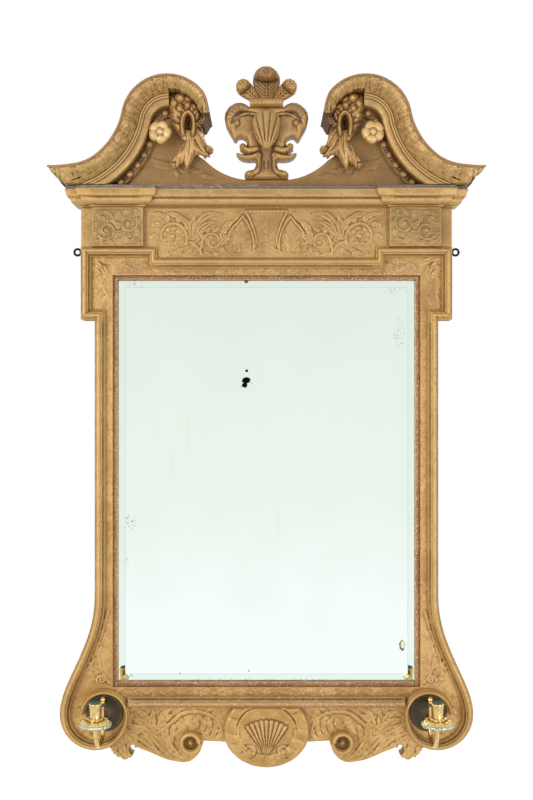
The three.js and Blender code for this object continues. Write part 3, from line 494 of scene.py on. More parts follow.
def swept(path, section, share=None, carve=None, before=None, after=None):
    """Rings of the section along the path. The path's left side is the side that "across" measures
    towards. before and after are points beyond its ends, which set the end mitres."""
    path = np.asarray(path, float)
    section = np.asarray(section, float)
    whole = path
    if before is not None:
        whole = np.vstack([before, whole])
    if after is not None:
        whole = np.vstack([whole, after])
    along = np.diff(whole, axis=0)
    along /= np.linalg.norm(along, axis=1)[:, None]
    normals = np.column_stack([-along[:, 1], along[:, 0]])
    first = 0 if before is None else 1
    index = np.arange(first, first + len(path))
    n0 = normals[np.maximum(index - 1, 0)]
    n1 = normals[np.minimum(index, len(normals) - 1)]
    mitre = (n0 + n1) / (1 + (n0 * n1).sum(1))[:, None]
    rings = np.repeat(section[None], len(path), 0)
    if carve is not None:
        nxt, prv = np.roll(section, -1, 0), np.roll(section, 1, 0)
        edge = nxt - prv
        edge /= np.maximum(np.linalg.norm(edge, axis=1), 1e-6)[:, None]
        outwards = np.column_stack([-edge[:, 1], edge[:, 0]])
        area = 0.5 * np.sum(section[:, 0] * nxt[:, 1] - nxt[:, 0] * section[:, 1])
        outwards *= -np.sign(area)
        rings = rings + outwards[None] * carve(lengths(path)[:, None], section[None, :, 0])[..., None]
    width = np.ones(len(path)) if share is None else np.asarray(share, float)
    across = rings[:, :, 0] * width[:, None]
    flat = path[:, None, :] + mitre[:, None, :] * across[:, :, None]
    points = np.concatenate([flat, rings[:, :, 1:2]], axis=2)
    return points.reshape(-1, 3), between_rings(len(path), len(section))


def rounded(section, longest=1.5):
    """A section's face with points no further apart than longest, so that it can be carved and shaded."""
    closed_line = np.vstack([section, section[:1]])
    return finer(closed_line, longest)[:-1]


def wavy(points, amount=0.25, size=45.0):
    """Old woodwork is never quite true: a slow waver of the surface, in mm."""
    x, z, d = points.T
    f = 2 * math.pi / size
    w = (np.sin(x * f + 1.3 * np.sin(z * f * 0.7)) + np.sin(z * f * 1.3 + 0.9 * np.sin(x * f * 0.6 + 2))) / 2
    moved = points.copy()
    moved[:, 2] += amount * w * (d > 8)
    return moved


# %% [markdown]
# ## Sizes
# The frame's main lines are named once, in millimetres, and every later cell draws with the names. Heights
# are measured from the joint between the top rail and the ears, depths from the wall.

# %% Sizes of the frame
SLIP_X, STILE_X, EAR_X = 309, 343, 371
RAIL_Z, TOP_Z, EAR_Z, EAR_FOOT_Z, EAR_END_X = -25, 8, 30, -115, 218
SILL_Z, FOOT_Z = -853, -890
GLASS_BACK = 22.2  # how far the rebate for the plate and boards reaches forward
PLATE_X, PLATE_Z = 324.5, -904
FACE = 36  # depth of the frame's face
FLARE_OUT, FLARE_RISE, PLATE_OUT = 70, 246, 18.5
VOLUTE_INNER, VOLUTE_EYE = 50, 49
print("sight", 2 * (SLIP_X - 9), "x", RAIL_Z - 9 - (SILL_Z + 9), "mm")


# %% [markdown]
# The architrave's section, from its outer edge inwards: a fillet, a bold torus, a fillet, a hollow and a
# small bead. The sides swell out at the foot and wind once and a half round the candle plates, while the
# moulding narrows.

# %% Architrave mouldings
ARCHITRAVE = [(0, FACE), (0, 48.6), (0.5, 49.6), (2.4, 50), (2.7, 51.6), (3.2, 53.6), (4.2, 55.6), (5.6, 57.2),
              (7.4, 58), (9.4, 57.9), (11.0, 56.9), (12.1, 55.2), (12.5, 53.2), (12.8, 52.6), (14.4, 52.4),
              (14.6, 50.8), (15.2, 49.0), (16.2, 47.5), (17.4, 46.8), (17.6, 45.6), (18.4, 46.1), (19.4, 45.4),
              (19.9, 44.0), (20, 42.2), (20, FACE)]


def volute_point(angle):
    outer = smooth_step((angle - 180) / 180)
    inner = np.clip((angle - 360) / 180, 0, 1)
    whole = PLATE_OUT + FLARE_OUT
    radius = whole + (VOLUTE_INNER - whole) * outer + (VOLUTE_EYE - VOLUTE_INNER) * inner
    turn = np.radians(angle)
    return np.column_stack([-PLATE_X + radius * np.cos(turn), PLATE_Z + radius * np.sin(turn)])


down = np.linspace(0, 1, 60)
flare = np.column_stack([-STILE_X - FLARE_OUT * smooth_step(down**1.25), PLATE_Z + FLARE_RISE * (1 - down)])
volute = volute_point(np.linspace(180, 540, 150))
side_edge = np.vstack([flare[:-1], volute])
long_side = finer([(-STILE_X, EAR_FOOT_Z), (-STILE_X, flare[0, 1])], 9)
outer_path = np.vstack([long_side[:-1], side_edge])
turn_share = np.concatenate([
    np.zeros(len(long_side) - 1 + len(flare) - 1), np.linspace(0, 2, len(volute)).clip(0, 1)])
points, faces = swept(outer_path, ARCHITRAVE, share=1 - 0.45 * turn_share, before=(-EAR_X, EAR_FOOT_Z))
pair("outer_moulding", wavy(points), faces, gilding)

ear_path = [(-EAR_END_X, TOP_Z), (-EAR_END_X, EAR_Z), (-EAR_X, EAR_Z), (-EAR_X, EAR_FOOT_Z),
            (-STILE_X, EAR_FOOT_Z)]
points, faces = swept(finer(ear_path, 8), ARCHITRAVE, before=(EAR_END_X, TOP_Z), after=(-STILE_X, -300))
pair("ear_moulding", wavy(points), faces, gilding)

points, faces = swept(finer([(EAR_END_X, TOP_Z), (-EAR_END_X, TOP_Z)], 8), ARCHITRAVE,
                      before=(EAR_END_X, EAR_Z), after=(-EAR_END_X, EAR_Z))
piece("top_moulding_run", wavy(points), faces, gilding, replaces="top_moulding")

bottom_x = PLATE_X - math.sqrt(VOLUTE_INNER**2 - 14**2) - 0.3
points, faces = swept(finer([(-bottom_x, FOOT_Z), (bottom_x, FOOT_Z)], 8), ARCHITRAVE)
piece("bottom_moulding_run", wavy(points), faces, rubbed_gilding, replaces="bottom_moulding")
print("architrave:", made_faces, "triangles so far")


# %% [markdown]
# The cornice breaks forward over the two frieze blocks. Its section is drawn on plan this time: the path
# lies on the top of the frieze and the section rises, so the swept points are turned upright afterwards.

# %% Cornice
FRIEZE, BLOCK_FRONT = 45, 58
FRIEZE_Z, PEDIMENT_Z = 109, 148.5
BLOCK_X, BLOCK_INNER_X = 348, 245
CORNICE = [(0, 109), (3.6, 109), (4, 109.5), (4, 111.2), (5.2, 111.6), (8.4, 111.9), (11.8, 112.9),
           (14.6, 114.6),
           (16.6, 117), (17.8, 120), (18.1, 123), (18.1, 124.6), (19.6, 124.9), (20, 126.2), (23.4, 126.5),
           (24.2, 127.2), (24.6, 129.4), (25.6, 133.2), (26.9, 137), (27.5, 138.6), (28, 139.2), (28, 140.6),
           (27.6, 141), (0, 141)]


def plan_to_front(points):
    """Swept on plan (x, -depth, height): back to x, height, depth."""
    return np.column_stack([points[:, 0], points[:, 2], -points[:, 1]])


points, faces = swept(finer([(BLOCK_INNER_X, -FRIEZE), (-BLOCK_INNER_X, -FRIEZE)], 9), CORNICE,
                      before=(BLOCK_INNER_X, -BLOCK_FRONT), after=(-BLOCK_INNER_X, -BLOCK_FRONT))
piece("cornice_centre_run", wavy(plan_to_front(points), 0.3, 120), faces, plain_gilding,
      replaces="cornice_centre")
plan = finer([(-BLOCK_INNER_X, -FRIEZE), (-BLOCK_INNER_X, -BLOCK_FRONT), (-BLOCK_X, -BLOCK_FRONT),
              (-BLOCK_X, -FRIEZE), (-EAR_X, -FRIEZE), (-EAR_X, 0)], 9)
points, faces = swept(plan, [(c - 2.5 if c == 0 else c, h) for c, h in CORNICE],
                      before=(BLOCK_INNER_X, -FRIEZE))
pair("cornice_block", wavy(plan_to_front(points), 0.3, 120), faces, gilt_carcass,
     finish_of=lambda c, n: np.where(
         n[:, 1] > 0.7, 2, np.where((np.abs(n[:, 0]) > 0.6) & (c[:, 1] > -22), 1, 0)))


# %% [markdown]
# ## Swan necks
# Each neck is two runs: the crown, whose hollow-and-round face is carved with leaves, and the bed below it
# with a plain flat, an astragal and a round carved with eggs. The leaves are pressed in and raised on the
# swept surface itself; the eggs are separate shapes set along it further down.

# %% The neck's line and its crown moulding
CROWN_D, TIP_X, TIP_Z = 112, 426, 173
SCROLL_X, SCROLL_Z, SCROLL_R = 193, 268, 90
HOLLOW_X = TIP_X - 9
hollow_across = HOLLOW_X - SCROLL_X
HOLLOW_R = (hollow_across**2 + 95**2 - SCROLL_R**2) / (2 * (SCROLL_R + 95))
HOLLOW_Z = TIP_Z + HOLLOW_R
BEND = math.degrees(math.atan2(HOLLOW_Z - SCROLL_Z, -hollow_across))


def arc(x, z, radius, start, end, spacing=1.6):
    count = max(2, int(abs(math.radians(end - start)) * radius / spacing))
    turn = np.radians(np.linspace(start, end, count))
    return np.column_stack([x + radius * np.cos(turn), z + radius * np.sin(turn)])


curl_inner = arc(-SCROLL_X, SCROLL_Z, SCROLL_R, 0, 90)
curl_outer = arc(-SCROLL_X, SCROLL_Z, SCROLL_R, 90, BEND)[1:]
hollow = arc(-HOLLOW_X, HOLLOW_Z, HOLLOW_R, BEND - 180, -90)[1:]
neck_line = np.vstack([[(SCROLL_R - SCROLL_X, SCROLL_Z - 3)], curl_inner, curl_outer, hollow,
                       finer([hollow[-1], (-TIP_X, TIP_Z)], 1.6)[1:]])
NECK_LENGTH = lengths(neck_line)[-1]
CROWN = [(0, 0), (0, 110.6), (0.6, 111.7), (1.6, 112), (3.6, 112), (4.2, 111.4), (4.6, 109.9), (6, 109.7),
         (9, 108.8), (12, 107.4), (15, 105.4), (18, 103), (21, 100), (24, 96.4), (24, 0)]
LEAF_PITCH = 30.0
CARVED_FROM, CARVED_TO = 4.8, 31.0


def leaf_course(s, across):
    """Leaves along the crown: a broad one with a midrib and three lobes a side, a narrow one between."""
    inside = smooth_step((across - CARVED_FROM) / 2.5) * smooth_step((CARVED_TO - across) / 2.5)
    v = np.clip((across - CARVED_FROM) / (CARVED_TO - CARVED_FROM), 0, 1)
    # each leaf leans and swells a little differently, as hand carving does
    phase = (s / LEAF_PITCH) % 1.0 - 0.5 + 0.06 * np.sin(s * 0.037) * (v - 0.5)
    half = 0.40 * np.sin(math.pi * np.clip(0.12 + 0.88 * v, 0, 1) ** 0.8) ** 0.55
    lobes = 0.80 + 0.20 * np.abs(np.cos(math.pi * v * 3.0))
    u = np.abs(phase) / np.maximum(half * lobes, 0.02)
    leaf = np.clip(1 - u**2.5, 0, 1) ** 0.8
    rib = np.exp(-((phase / 0.045) ** 2))
    scoop = np.cos(math.pi * (v * 3.0 - np.abs(phase) * 2.2)) ** 2
    behind = np.abs(np.abs(phase) - 0.5)
    dart = np.clip(1 - (behind / (0.10 * (1.15 - v * 0.5))) ** 2, 0, 1)
    height = 1.8 * leaf * (0.65 + 0.35 * scoop) + 0.5 * rib * leaf - 0.8
    height += 0.6 * dart * smooth_step((v - 0.1) / 0.1)
    uneven = 0.3 * np.sin(s * 0.21 + across * 0.35) * np.sin(across * 0.32 + s * 0.08 + 1.0)
    return inside * (height * (0.85 + 0.25 * np.sin(s * 0.047 + 0.4)) + uneven)


UPTURN = 7  # how far the tip's underside rises
KNUCKLE_Z = 282  # below this the curl's end thins to a knuckle behind the hanging leaves
points, faces = swept(neck_line, rounded(CROWN, 1.2), carve=leaf_course)
points = wavy(points, 0.3)
upturn = smooth_step((-335 - points[:, 0]) / 70) * smooth_step((points[:, 1] - 150) / 12)
points[:, 1] += UPTURN * upturn
# the tip is returned to the wall by the same section
front = np.array([(1.55 * (CROWN_D - d) - TIP_X, TIP_Z - c) for c, d in CROWN[1:-1]])
limit = np.interp(TIP_Z + UPTURN - points[:, 1], TIP_Z - front[:, 1], front[:, 0])
near_tip = points[:, 0] < -TIP_X + 30
points[:, 0] = np.where(near_tip, np.maximum(points[:, 0], limit), points[:, 0])
knuckle = smooth_step((KNUCKLE_Z - points[:, 1]) / 2.5) * (points[:, 0] > -140)
points[:, 2] -= knuckle * 19 * smooth_step((points[:, 2] - 60) / 35)
points[:, 2] += knuckle * 1.5 * np.sin(points[:, 0] * 0.9) * (points[:, 2] > 70)
taper = 6 * smooth_step((332 - points[:, 1]) / 45) + knuckle * (3 + 0.6 * (KNUCKLE_Z - points[:, 1]))
points[:, 0] -= (points[:, 0] > -150) * taper * smooth_step((points[:, 0] + 126) / 10)
points[:, 2] = np.maximum(points[:, 2], 0)
# A darker gilding and a darker pine that paint shade into the colour: on the neck's outer fillet and curl end,
# in the bed's hollow, on the centre feather, on the cartouche and on the hanging leaves' sides.
painted_shade_gilding = water_gilding("painted_shade_water_gilding", "#A98150", "#8A6238", "#4A321E", rub=0.05,
                               chips=0.05, extra_shade_and_dirt=0.10)
painted_shade_pine = old_pine("painted_shade_pine", "#6A5238", "#463422")


def neck_finish(centres, normals):
    """Gilt face, ochre sides, bare back; painted shade on the outer fillet and round the curl's end."""
    x, y, z = np.abs(centres[:, 0]), centres[:, 1], centres[:, 2]
    plain = np.where(normals[:, 1] > 0.7, 2, np.where((y > -40) & (x > 130), 1, 0))
    # painted shade: darker gilding on the outer fillet and under the curl, darker pine on the curl end's sides
    painted_shade_faces = (z < 281) & (x < 135) | (y < -111.3)
    curl_end = (np.abs(normals[:, 1]) < 0.55) & (x < 130) & (z < 310)
    return np.where(curl_end, 4, np.where(painted_shade_faces, 3, plain))


pair("swan_neck", points, faces, [gilding, ochre, upright_pine, painted_shade_gilding, painted_shade_pine],
     finish_of=neck_finish)
print("neck length", round(NECK_LENGTH), "mm,", round(NECK_LENGTH / LEAF_PITCH), "leaves")

# %% [markdown]
# Under the crown runs the bed moulding, with a flat of its own, an astragal and a hollow that the eggs sit
# in. It could be part of the crown's section, but the two are separate strips on the real neck, and only
# the crown goes on down round the curl. Its line stops where it runs out on top of the cornice.

# %% The bed moulding
BED_BACK = 42
BED = [(21.5, BED_BACK), (21.5, 91.5), (23.6, 94.8), (24.6, 95.2), (26.6, 93.2), (29, 89.8), (31, 86.6),
       (31.5, 85.2), (32.2, 85), (33, 86.2), (35.4, 86), (36, 84.6), (36.8, 84.2), (37.6, 85.2), (39.8, 84.8),
       (40.6, 83.4), (41.2, 82.4), (44, 82.2),
       (48, 81.3), (51.6, 79.6), (53.4, 78), (54, 76), (54.3, 66), (55.4, 60), (57.6, 56), (60.6, 53),
       (64, 51.2),
       (65.6, 50.8), (66, 52.4), (68.6, 52.2), (69.2, 50), (70, 49), (70, BED_BACK)]
BED_END_Z = 174.2  # the neck's line is lower than this where the bed has run out into the cornice
bed_line = np.vstack([arc(-SCROLL_X, SCROLL_Z, SCROLL_R, 90, BEND, 2.0), arc(-HOLLOW_X, HOLLOW_Z, HOLLOW_R,
                      BEND - 180, -90, 2.0)[1:]])
bed_line = bed_line[: int(np.argmax(bed_line[:, 1] < BED_END_Z))]
curl_length = lengths(np.vstack([neck_line[:1], curl_inner]))[-1]
points, faces = swept(bed_line, rounded(BED, 1.6), carve=lambda s, across: leaf_course(s + curl_length, across))
points[:, 1] = np.maximum(points[:, 1], PEDIMENT_Z + 0.3)
points[:, 2] = np.maximum(points[:, 2], BED_BACK)
# painted shade: the bed's hollow, from 44 to 66 mm forward, takes the darker gilding; ochre lies behind it
pair("swan_neck_bed", wavy(points, 0.3), faces, [gilding, ochre, painted_shade_gilding],
     finish_of=lambda c, n: np.where(c[:, 1] > -44, 1, np.where(c[:, 1] > -66, 2, 0)))
print("mouldings:", made_faces, "triangles so far")


# %% [markdown]
# ## Carving
# Gesso is built up in coats on the wood and recut while it is soft: stems, leaves and scrolls stand a few
# millimetres above a flat ground. Sculpting by hand or a displacement picture could give that; here the
# carver's own strokes are written down. A ground is a fine grid of heights. Each stroke follows a line and
# raises what lies beside it, so a leaf is one stroke with a scalloped edge, a midrib and veins.

# %% The carver's ground and strokes
def spline(points, spacing=1.0):
    """A smooth line through the given points (Catmull-Rom), evenly spaced."""
    p = np.asarray(points, float)
    p = np.vstack([2 * p[0] - p[1], p, 2 * p[-1] - p[-2]])
    t = np.linspace(0, 1, 24, endpoint=False)[:, None]
    runs = []
    for a, b, c, d in zip(p[:-3], p[1:-2], p[2:-1], p[3:]):
        runs.append(0.5 * (2 * b + (c - a) * t + (2 * a - 5 * b + 4 * c - d) * t**2
                           + (3 * b - a - 3 * c + d) * t**3))
    line = np.vstack(runs + [p[-2:-1]])
    s = lengths(line)
    count = max(4, int(s[-1] / spacing) + 1)
    at = np.linspace(0, s[-1], count)
    return np.column_stack([np.interp(at, s, line[:, k]) for k in range(line.shape[1])])


def scroll(x, z, start_r, end_r, start, turns, spacing=1.0):
    """A spiral line about (x, z) that winds from one radius to another. Negative turns go clockwise."""
    count = max(12, int(abs(turns) * 2 * math.pi * (start_r + end_r) / 2 / spacing))
    t = np.linspace(0, 1, count)
    radius = start_r + (end_r - start_r) * t**0.85
    angle = np.radians(start) + turns * 2 * math.pi * t
    return np.column_stack([x + radius * np.cos(angle), z + radius * np.sin(angle)])


class Ground:
    """A flat area with a height for each square of a fine grid, in mm."""

    def __init__(self, x0, x1, z0, z1, pitch=0.5):
        self.x0, self.z0, self.pitch = x0, z0, pitch
        self.X, self.Z = np.meshgrid(np.arange(x0, x1 + pitch, pitch), np.arange(z0, z1 + pitch, pitch))
        self.h = np.zeros(self.X.shape)

    def window(self, lo, hi):
        rows, columns = self.X.shape
        j0, i0 = (int((lo[k] - (self.x0, self.z0)[k]) / self.pitch) for k in (0, 1))
        j1, i1 = (int((hi[k] - (self.x0, self.z0)[k]) / self.pitch) + 2 for k in (0, 1))
        return slice(max(i0, 0), min(max(i1, 0), rows)), slice(max(j0, 0), min(max(j1, 0), columns))

    def follow(self, line, reach):
        """The window a line reaches, and for its squares the share of the way along and the distance
        beside the line (positive on its left)."""
        line = np.asarray(line, float)
        w = self.window(line.min(0) - reach, line.max(0) + reach)
        X, Z = self.X[w], self.Z[w]
        near, along, side = np.full(X.shape, 1e6), np.zeros(X.shape), np.full(X.shape, 1e6)
        run = lengths(line)
        for k, (a, b) in enumerate(zip(line[:-1], line[1:])):
            v = self.window(np.minimum(a, b) - reach, np.maximum(a, b) + reach)
            v = (slice(v[0].start - w[0].start, v[0].stop - w[0].start),
                 slice(v[1].start - w[1].start, v[1].stop - w[1].start))
            px, pz = X[v] - a[0], Z[v] - a[1]
            d = b - a
            length = max(float(np.hypot(*d)), 1e-6)
            t = np.clip((px * d[0] + pz * d[1]) / length**2, 0, 1)
            distance = np.hypot(px - t * d[0], pz - t * d[1])
            closer = distance < near[v]
            near[v] = np.where(closer, distance, near[v])
            along[v] = np.where(closer, (run[k] + t * length) / run[-1], along[v])
            sign = np.where(d[0] * pz - d[1] * px >= 0, 1.0, -1.0)
            side[v] = np.where(closer, sign * distance, side[v])
        return w, along, side

    def lay(self, w, shape):
        """Laid over what is there: the higher of the two stays."""
        self.h[w] = np.maximum(self.h[w], shape)

    def stem(self, line, width, height, end_width=None, gutter=0.0):
        """A round ridge, or a grooved one where gutter is above 0."""
        end_width = width if end_width is None else end_width
        w, s, side = self.follow(line, max(width, end_width) / 2 + 1)
        u = np.abs(side) / ((width + (end_width - width) * s) / 2)
        shape = height * np.sqrt(np.clip(1 - u * u, 0, 1)) * (0.55 + 0.45 * (1 - s) if end_width < width else 1)
        if gutter:
            shape = shape - gutter * np.exp(-((u / 0.38) ** 2)) * (u < 1)
        self.lay(w, np.where(u < 1, shape, 0))

    def leaf(self, line, width, height, lobes=4.0, start=0.25, vein=0.45, sharp=0.30):
        """A pointed leaf along a line: scalloped edges, a sunk midrib and slanting veins."""
        w, s, side = self.follow(line, width / 2 + 2)
        env = (start + (1 - start) * np.sin(math.pi * np.clip(s, 0, 1) ** 0.75) ** 0.8) * (1 - s**6)
        u = np.abs(side) / np.maximum(width / 2 * env, 0.05)
        phase = lobes * (s - 0.16 * u)
        scallop = np.abs(np.sin(math.pi * phase))
        edge = 1 - sharp + sharp * scallop**0.6
        v = np.clip(u / edge, 0, 2)
        shape = height * np.clip(1 - v**2.6, 0, 1) ** 0.5 * (0.60 + 0.40 * scallop * np.clip(u * 2, 0.4, 1))
        shape -= vein * height * np.exp(-((side / 0.9) ** 2)) * (s < 0.92)
        shape *= 0.55 + 0.45 * np.sin(math.pi * np.clip(s * 0.85 + 0.15, 0, 1)) ** 0.5
        self.lay(w, np.where((v < 1) & (s > 0.001), np.maximum(shape, 0), 0))

    def knob(self, x, z, radius, height, ring=0.0):
        w = self.window((x - radius - 2, z - radius - 2), (x + radius + 2, z + radius + 2))
        u = np.hypot(self.X[w] - x, self.Z[w] - z) / radius
        shape = height * np.sqrt(np.clip(1 - u * u, 0, 1))
        if ring:
            shape = shape - ring * np.exp(-(((u - 0.62) / 0.14) ** 2))
        self.lay(w, np.where(u < 1, shape, 0))

    def groove(self, line, width, depth):
        w, s, side = self.follow(line, width + 1)
        self.h[w] -= depth * np.exp(-((side / (width / 2)) ** 2))

    def mirror(self):
        """The ground's right half becomes the mirror image of its left half."""
        self.h = np.where(self.X > 0, self.at(-self.X, self.Z), self.h)

    def at(self, x, z):
        """The height at any points, from the four squares around each."""
        j = np.clip((x - self.x0) / self.pitch, 0, self.X.shape[1] - 1.001)
        i = np.clip((z - self.z0) / self.pitch, 0, self.X.shape[0] - 1.001)
        j0, i0 = j.astype(int), i.astype(int)
        fj, fi = j - j0, i - i0
        h = self.h
        return ((h[i0, j0] * (1 - fj) + h[i0, j0 + 1] * fj) * (1 - fi)
                + (h[i0 + 1, j0] * (1 - fj) + h[i0 + 1, j0 + 1] * fj) * fi)


def acanthus(ground, line, width, height, leaves, size, side):
    """A tapering stem with leaves that spring from one side of it and curl forward."""
    ground.stem(line, width, height, width * 0.45, gutter=height / 2)
    s = lengths(line)
    tip = math.radians(48)
    for share in np.linspace(0.12, 0.9, leaves):
        at = share * s[-1]
        p = np.array([np.interp(at, s, line[:, k]) for k in (0, 1)])
        q = np.array([np.interp(min(at + 2, s[-1]), s, line[:, k]) for k in (0, 1)])
        along = (q - p) / max(np.linalg.norm(q - p), 1e-6)
        across = np.array([-along[1], along[0]]) * side
        reach = width * size * (2.6 - 1.1 * share)
        middle = p + reach * 0.55 * (along * math.cos(tip) + across * math.sin(tip))
        end = p + reach * (along * math.cos(tip * 0.55) * 1.05 + across * math.sin(tip) * 0.95)
        ground.leaf(spline([p, middle, end]), reach * 0.52, height * 0.9, lobes=2.2, start=0.35)


# %% [markdown]
# A carved board is the ground's heights over an outline. The outline is filled with a fine honeycomb of
# points, joined by Delaunay triangles so that the edge stays crisp; walls and a back close it.

# %% Boards and blocks with a carved face
def inside_and_near(x, z, outline):
    """Whether points lie inside an outline, and their distance from its edge."""
    inside = np.zeros(len(x), bool)
    near = np.full(len(x), 1e9)
    for (x0, z0), (x1, z1) in zip(outline, np.roll(outline, -1, 0)):
        crosses = (z0 > z) != (z1 > z)
        with np.errstate(divide="ignore", invalid="ignore"):
            cut = x < (x1 - x0) * (z - z0) / (z1 - z0) + x0
        inside ^= crosses & cut
        dx, dz = x1 - x0, z1 - z0
        t = np.clip(((x - x0) * dx + (z - z0) * dz) / max(dx * dx + dz * dz, 1e-9), 0, 1)
        near = np.minimum(near, np.hypot(x - x0 - t * dx, z - z0 - t * dz))
    return inside, near


def within_outline(x, z, loops):
    """Whether points lie inside the first loop and outside the others, and how near the nearest edge is."""
    keep, near = inside_and_near(x, z, loops[0])
    for hole in loops[1:]:
        in_hole, close = inside_and_near(x, z, hole)
        keep &= ~in_hole
        near = np.minimum(near, close)
    return keep, near


def filled(spots, rings, loops):
    """Delaunay triangles between flat points, with the rings as fixed edges. Gives the points, each
    spot's number among them and the anticlockwise triangles inside the loops."""
    edges = [(int(a), int(b)) for r in rings for a, b in zip(r, np.roll(r, -1)) if a != b]
    out = delaunay_2d_cdt([Vector(p) for p in spots], edges, [], 0, 1e-6, True)
    made = np.array([tuple(v) for v in out[0]])
    number = np.full(len(spots), -1)
    for new, olds in enumerate(out[3]):
        number[olds] = new
    corners = np.array([f for f in out[2] if len(f) == 3])
    a, b, c = (made[corners[:, k]] for k in range(3))
    area = (b[:, 0] - a[:, 0]) * (c[:, 1] - a[:, 1]) - (c[:, 0] - a[:, 0]) * (b[:, 1] - a[:, 1])
    corners[area < 0] = corners[area < 0][:, ::-1]
    corners = corners[np.abs(area) > 1e-9]
    centre = made[corners].mean(1)
    return made, number, corners[within_outline(centre[:, 0], centre[:, 1], loops)[0]]


def honeycomb(loop, spacing):
    """Points in a honeycomb over the box of a loop."""
    lo, hi = loop.min(0), loop.max(0)
    zs = np.arange(lo[1], hi[1], spacing * 0.866)  # half the square root of three between the rows
    X, Z = np.meshgrid(np.arange(lo[0], hi[0], spacing), zs)
    X = X + (np.arange(len(zs)) % 2)[:, None] * spacing / 2
    return X.ravel(), Z.ravel()


def carved_block(outline, front, back, spacing=1.3, holes=(), soften=1.2, joint=None):
    """A closed block over an outline. front and back give depths at (x, z); the front's edge is softened
    as old edges are, except along a level joint with the next board."""
    drawn = [np.asarray(loop, float) for loop in (outline, *holes)]
    loops = []
    for loop in drawn:
        ahead = np.roll(loop, -1, 0)
        turning = np.sum(loop[:, 0] * ahead[:, 1] - ahead[:, 0] * loop[:, 1])
        if (turning < 0) == (len(loops) == 0):  # the outline runs anticlockwise, holes the other way
            loop = loop[::-1]
        loops.append(finer(np.vstack([loop, loop[:1]]), spacing * 1.2)[:-1])
    X, Z = honeycomb(loops[0], spacing)
    keep, near = within_outline(X, Z, drawn)
    keep &= near > spacing * 0.55
    begin = np.cumsum([0] + [len(loop) for loop in loops])
    rings = [np.arange(a, b) for a, b in zip(begin[:-1], begin[1:])]
    flat = np.vstack(loops + [np.column_stack([X, Z])[keep]])
    made, number, triangles = filled(flat, rings, drawn)
    x, z = made.T
    near = within_outline(x, z, drawn)[1]
    rounding = soften * np.clip(1 - near / (1.6 * max(soften, 0.1)), 0, 1) ** 2
    if joint is not None:
        rounding *= smooth_step((np.abs(z - joint) - 1) / 3)
    count = len(made)
    top = np.column_stack([x, z, front(x, z) - rounding])
    depth = back(x, z) if callable(back) else float(back)
    base = np.column_stack([x, z, np.minimum(np.broadcast_to(depth, x.shape), top[:, 2] - 0.8)])
    faces = triangles.tolist()
    if callable(back):
        faces += (triangles[:, ::-1] + count).tolist()
        points = [top, base]
        under = np.arange(count) + count
    else:
        # a flat back needs no points but those of its edge
        around = np.unique(np.concatenate([number[r] for r in rings]))
        small, under = np.full(count, -1), np.full(count, -1)
        small[around] = np.arange(len(around))
        under[around] = small[around] + count
        edge_points, again, lower = filled(made[around], [small[number[r]] for r in rings], drawn)
        if len(edge_points) == len(around):
            faces += (np.argsort(again)[lower][:, ::-1] + count).tolist()
        points = [top, base[around]]
    total = sum(map(len, points))
    for r in rings:
        r = number[r]
        r = r[np.concatenate([[True], r[1:] != r[:-1]])]
        rows = [r]
        for drop_mm in (1.5, 5.0):  # two rings of points down the wall keep its shading even
            drop = np.minimum(drop_mm, (top[r, 2] - base[r, 2]) * (drop_mm / 9.0))
            points.append(top[r] - drop[:, None] * (0, 0, 1))
            rows.append(np.arange(total, total + len(r)))
            total += len(r)
        rows.append(under[r])
        for one, two in zip(rows[:-1], rows[1:]):
            faces += np.column_stack([one, two, np.roll(two, -1), np.roll(one, -1)]).tolist()
    return np.vstack(points), faces


def carved(ground, level=FACE - 0.6):
    """The front of a board: the level of its ground and the carving on it."""
    return lambda x, z: level + ground.at(x, z)


print("carving tools ready")


# %% [markdown]
# ## Carved boards
# The frieze has a scrolling stem with leaves and a pointed arch in the middle; the stiles, rails and ears
# have a low running vine that is almost rubbed away; the apron has long leaf strands that run into its
# ragged lower edge. Each left half is carved and then mirrored, as the carver did with one drawing pricked
# through on both sides.

# %% Frieze
def leaves_round(ground, centre, radius, leaves, height, lobes, out_turn, swing_turn, swing, middle=0.5):
    """Leaves that spring outwards from a scroll and all sweep one way. leaves holds each one's place
    round the scroll in degrees, its reach and its width."""
    for turn, reach, width in leaves:
        a = math.radians(turn)
        at = np.array([centre[0] + radius * math.cos(a), centre[1] + radius * math.sin(a)])
        out = np.array([math.cos(a + out_turn), math.sin(a + out_turn)])
        sweep = np.array([math.cos(a + swing_turn), math.sin(a + swing_turn)])
        ground.leaf(spline([at, at + out * reach * middle, at + (out * 0.7 + sweep * swing) * reach]), width,
                    height, lobes=lobes, start=0.5)


field = Ground(-374, 374, 4, 112)
for line in ([(-243, 34), (-243, 105), (0, 105)], [(-243, 34), (-215, 34), (-215, 13), (0, 13)]):
    field.groove(finer(line, 2), 1.4, 0.45)
field.stem(spline([(-128, 16), (-140, 33), (-152, 40), (-163, 38)]), 6, 2.0, 4, gutter=0.8)
field.stem(scroll(-190, 52, 33, 7, -28, 1.35), 6.5, 2.3, 3.4, gutter=0.9)
leaves_round(field, (-190, 52), 31, (
    (-8, 19, 11), (28, 20, 12), (62, 20, 12), (98, 20, 12), (134, 17, 11), (172, 13, 9), (212, 14, 9),
    (250, 15, 10), (284, 15, 10)), 2.0, 2.4, 0.55, 1.25, 0.45)
for turn in range(20, 330, 44):
    a = math.radians(turn)
    at = np.array([-188 + 17 * math.cos(a), 53 + 17 * math.sin(a)])
    field.leaf(spline([at, at + (-5 * math.cos(a - 0.9), -5 * math.sin(a - 0.9)),
                       at + (-9 * math.cos(a - 0.5), -9 * math.sin(a - 0.5))]), 7, 1.6, lobes=1.6, start=0.6)
field.knob(-187, 53, 4.2, 2.4, ring=0.8)
field.stem(spline([(-131, 15), (-132, 26), (-129, 34)]), 5, 2.0)
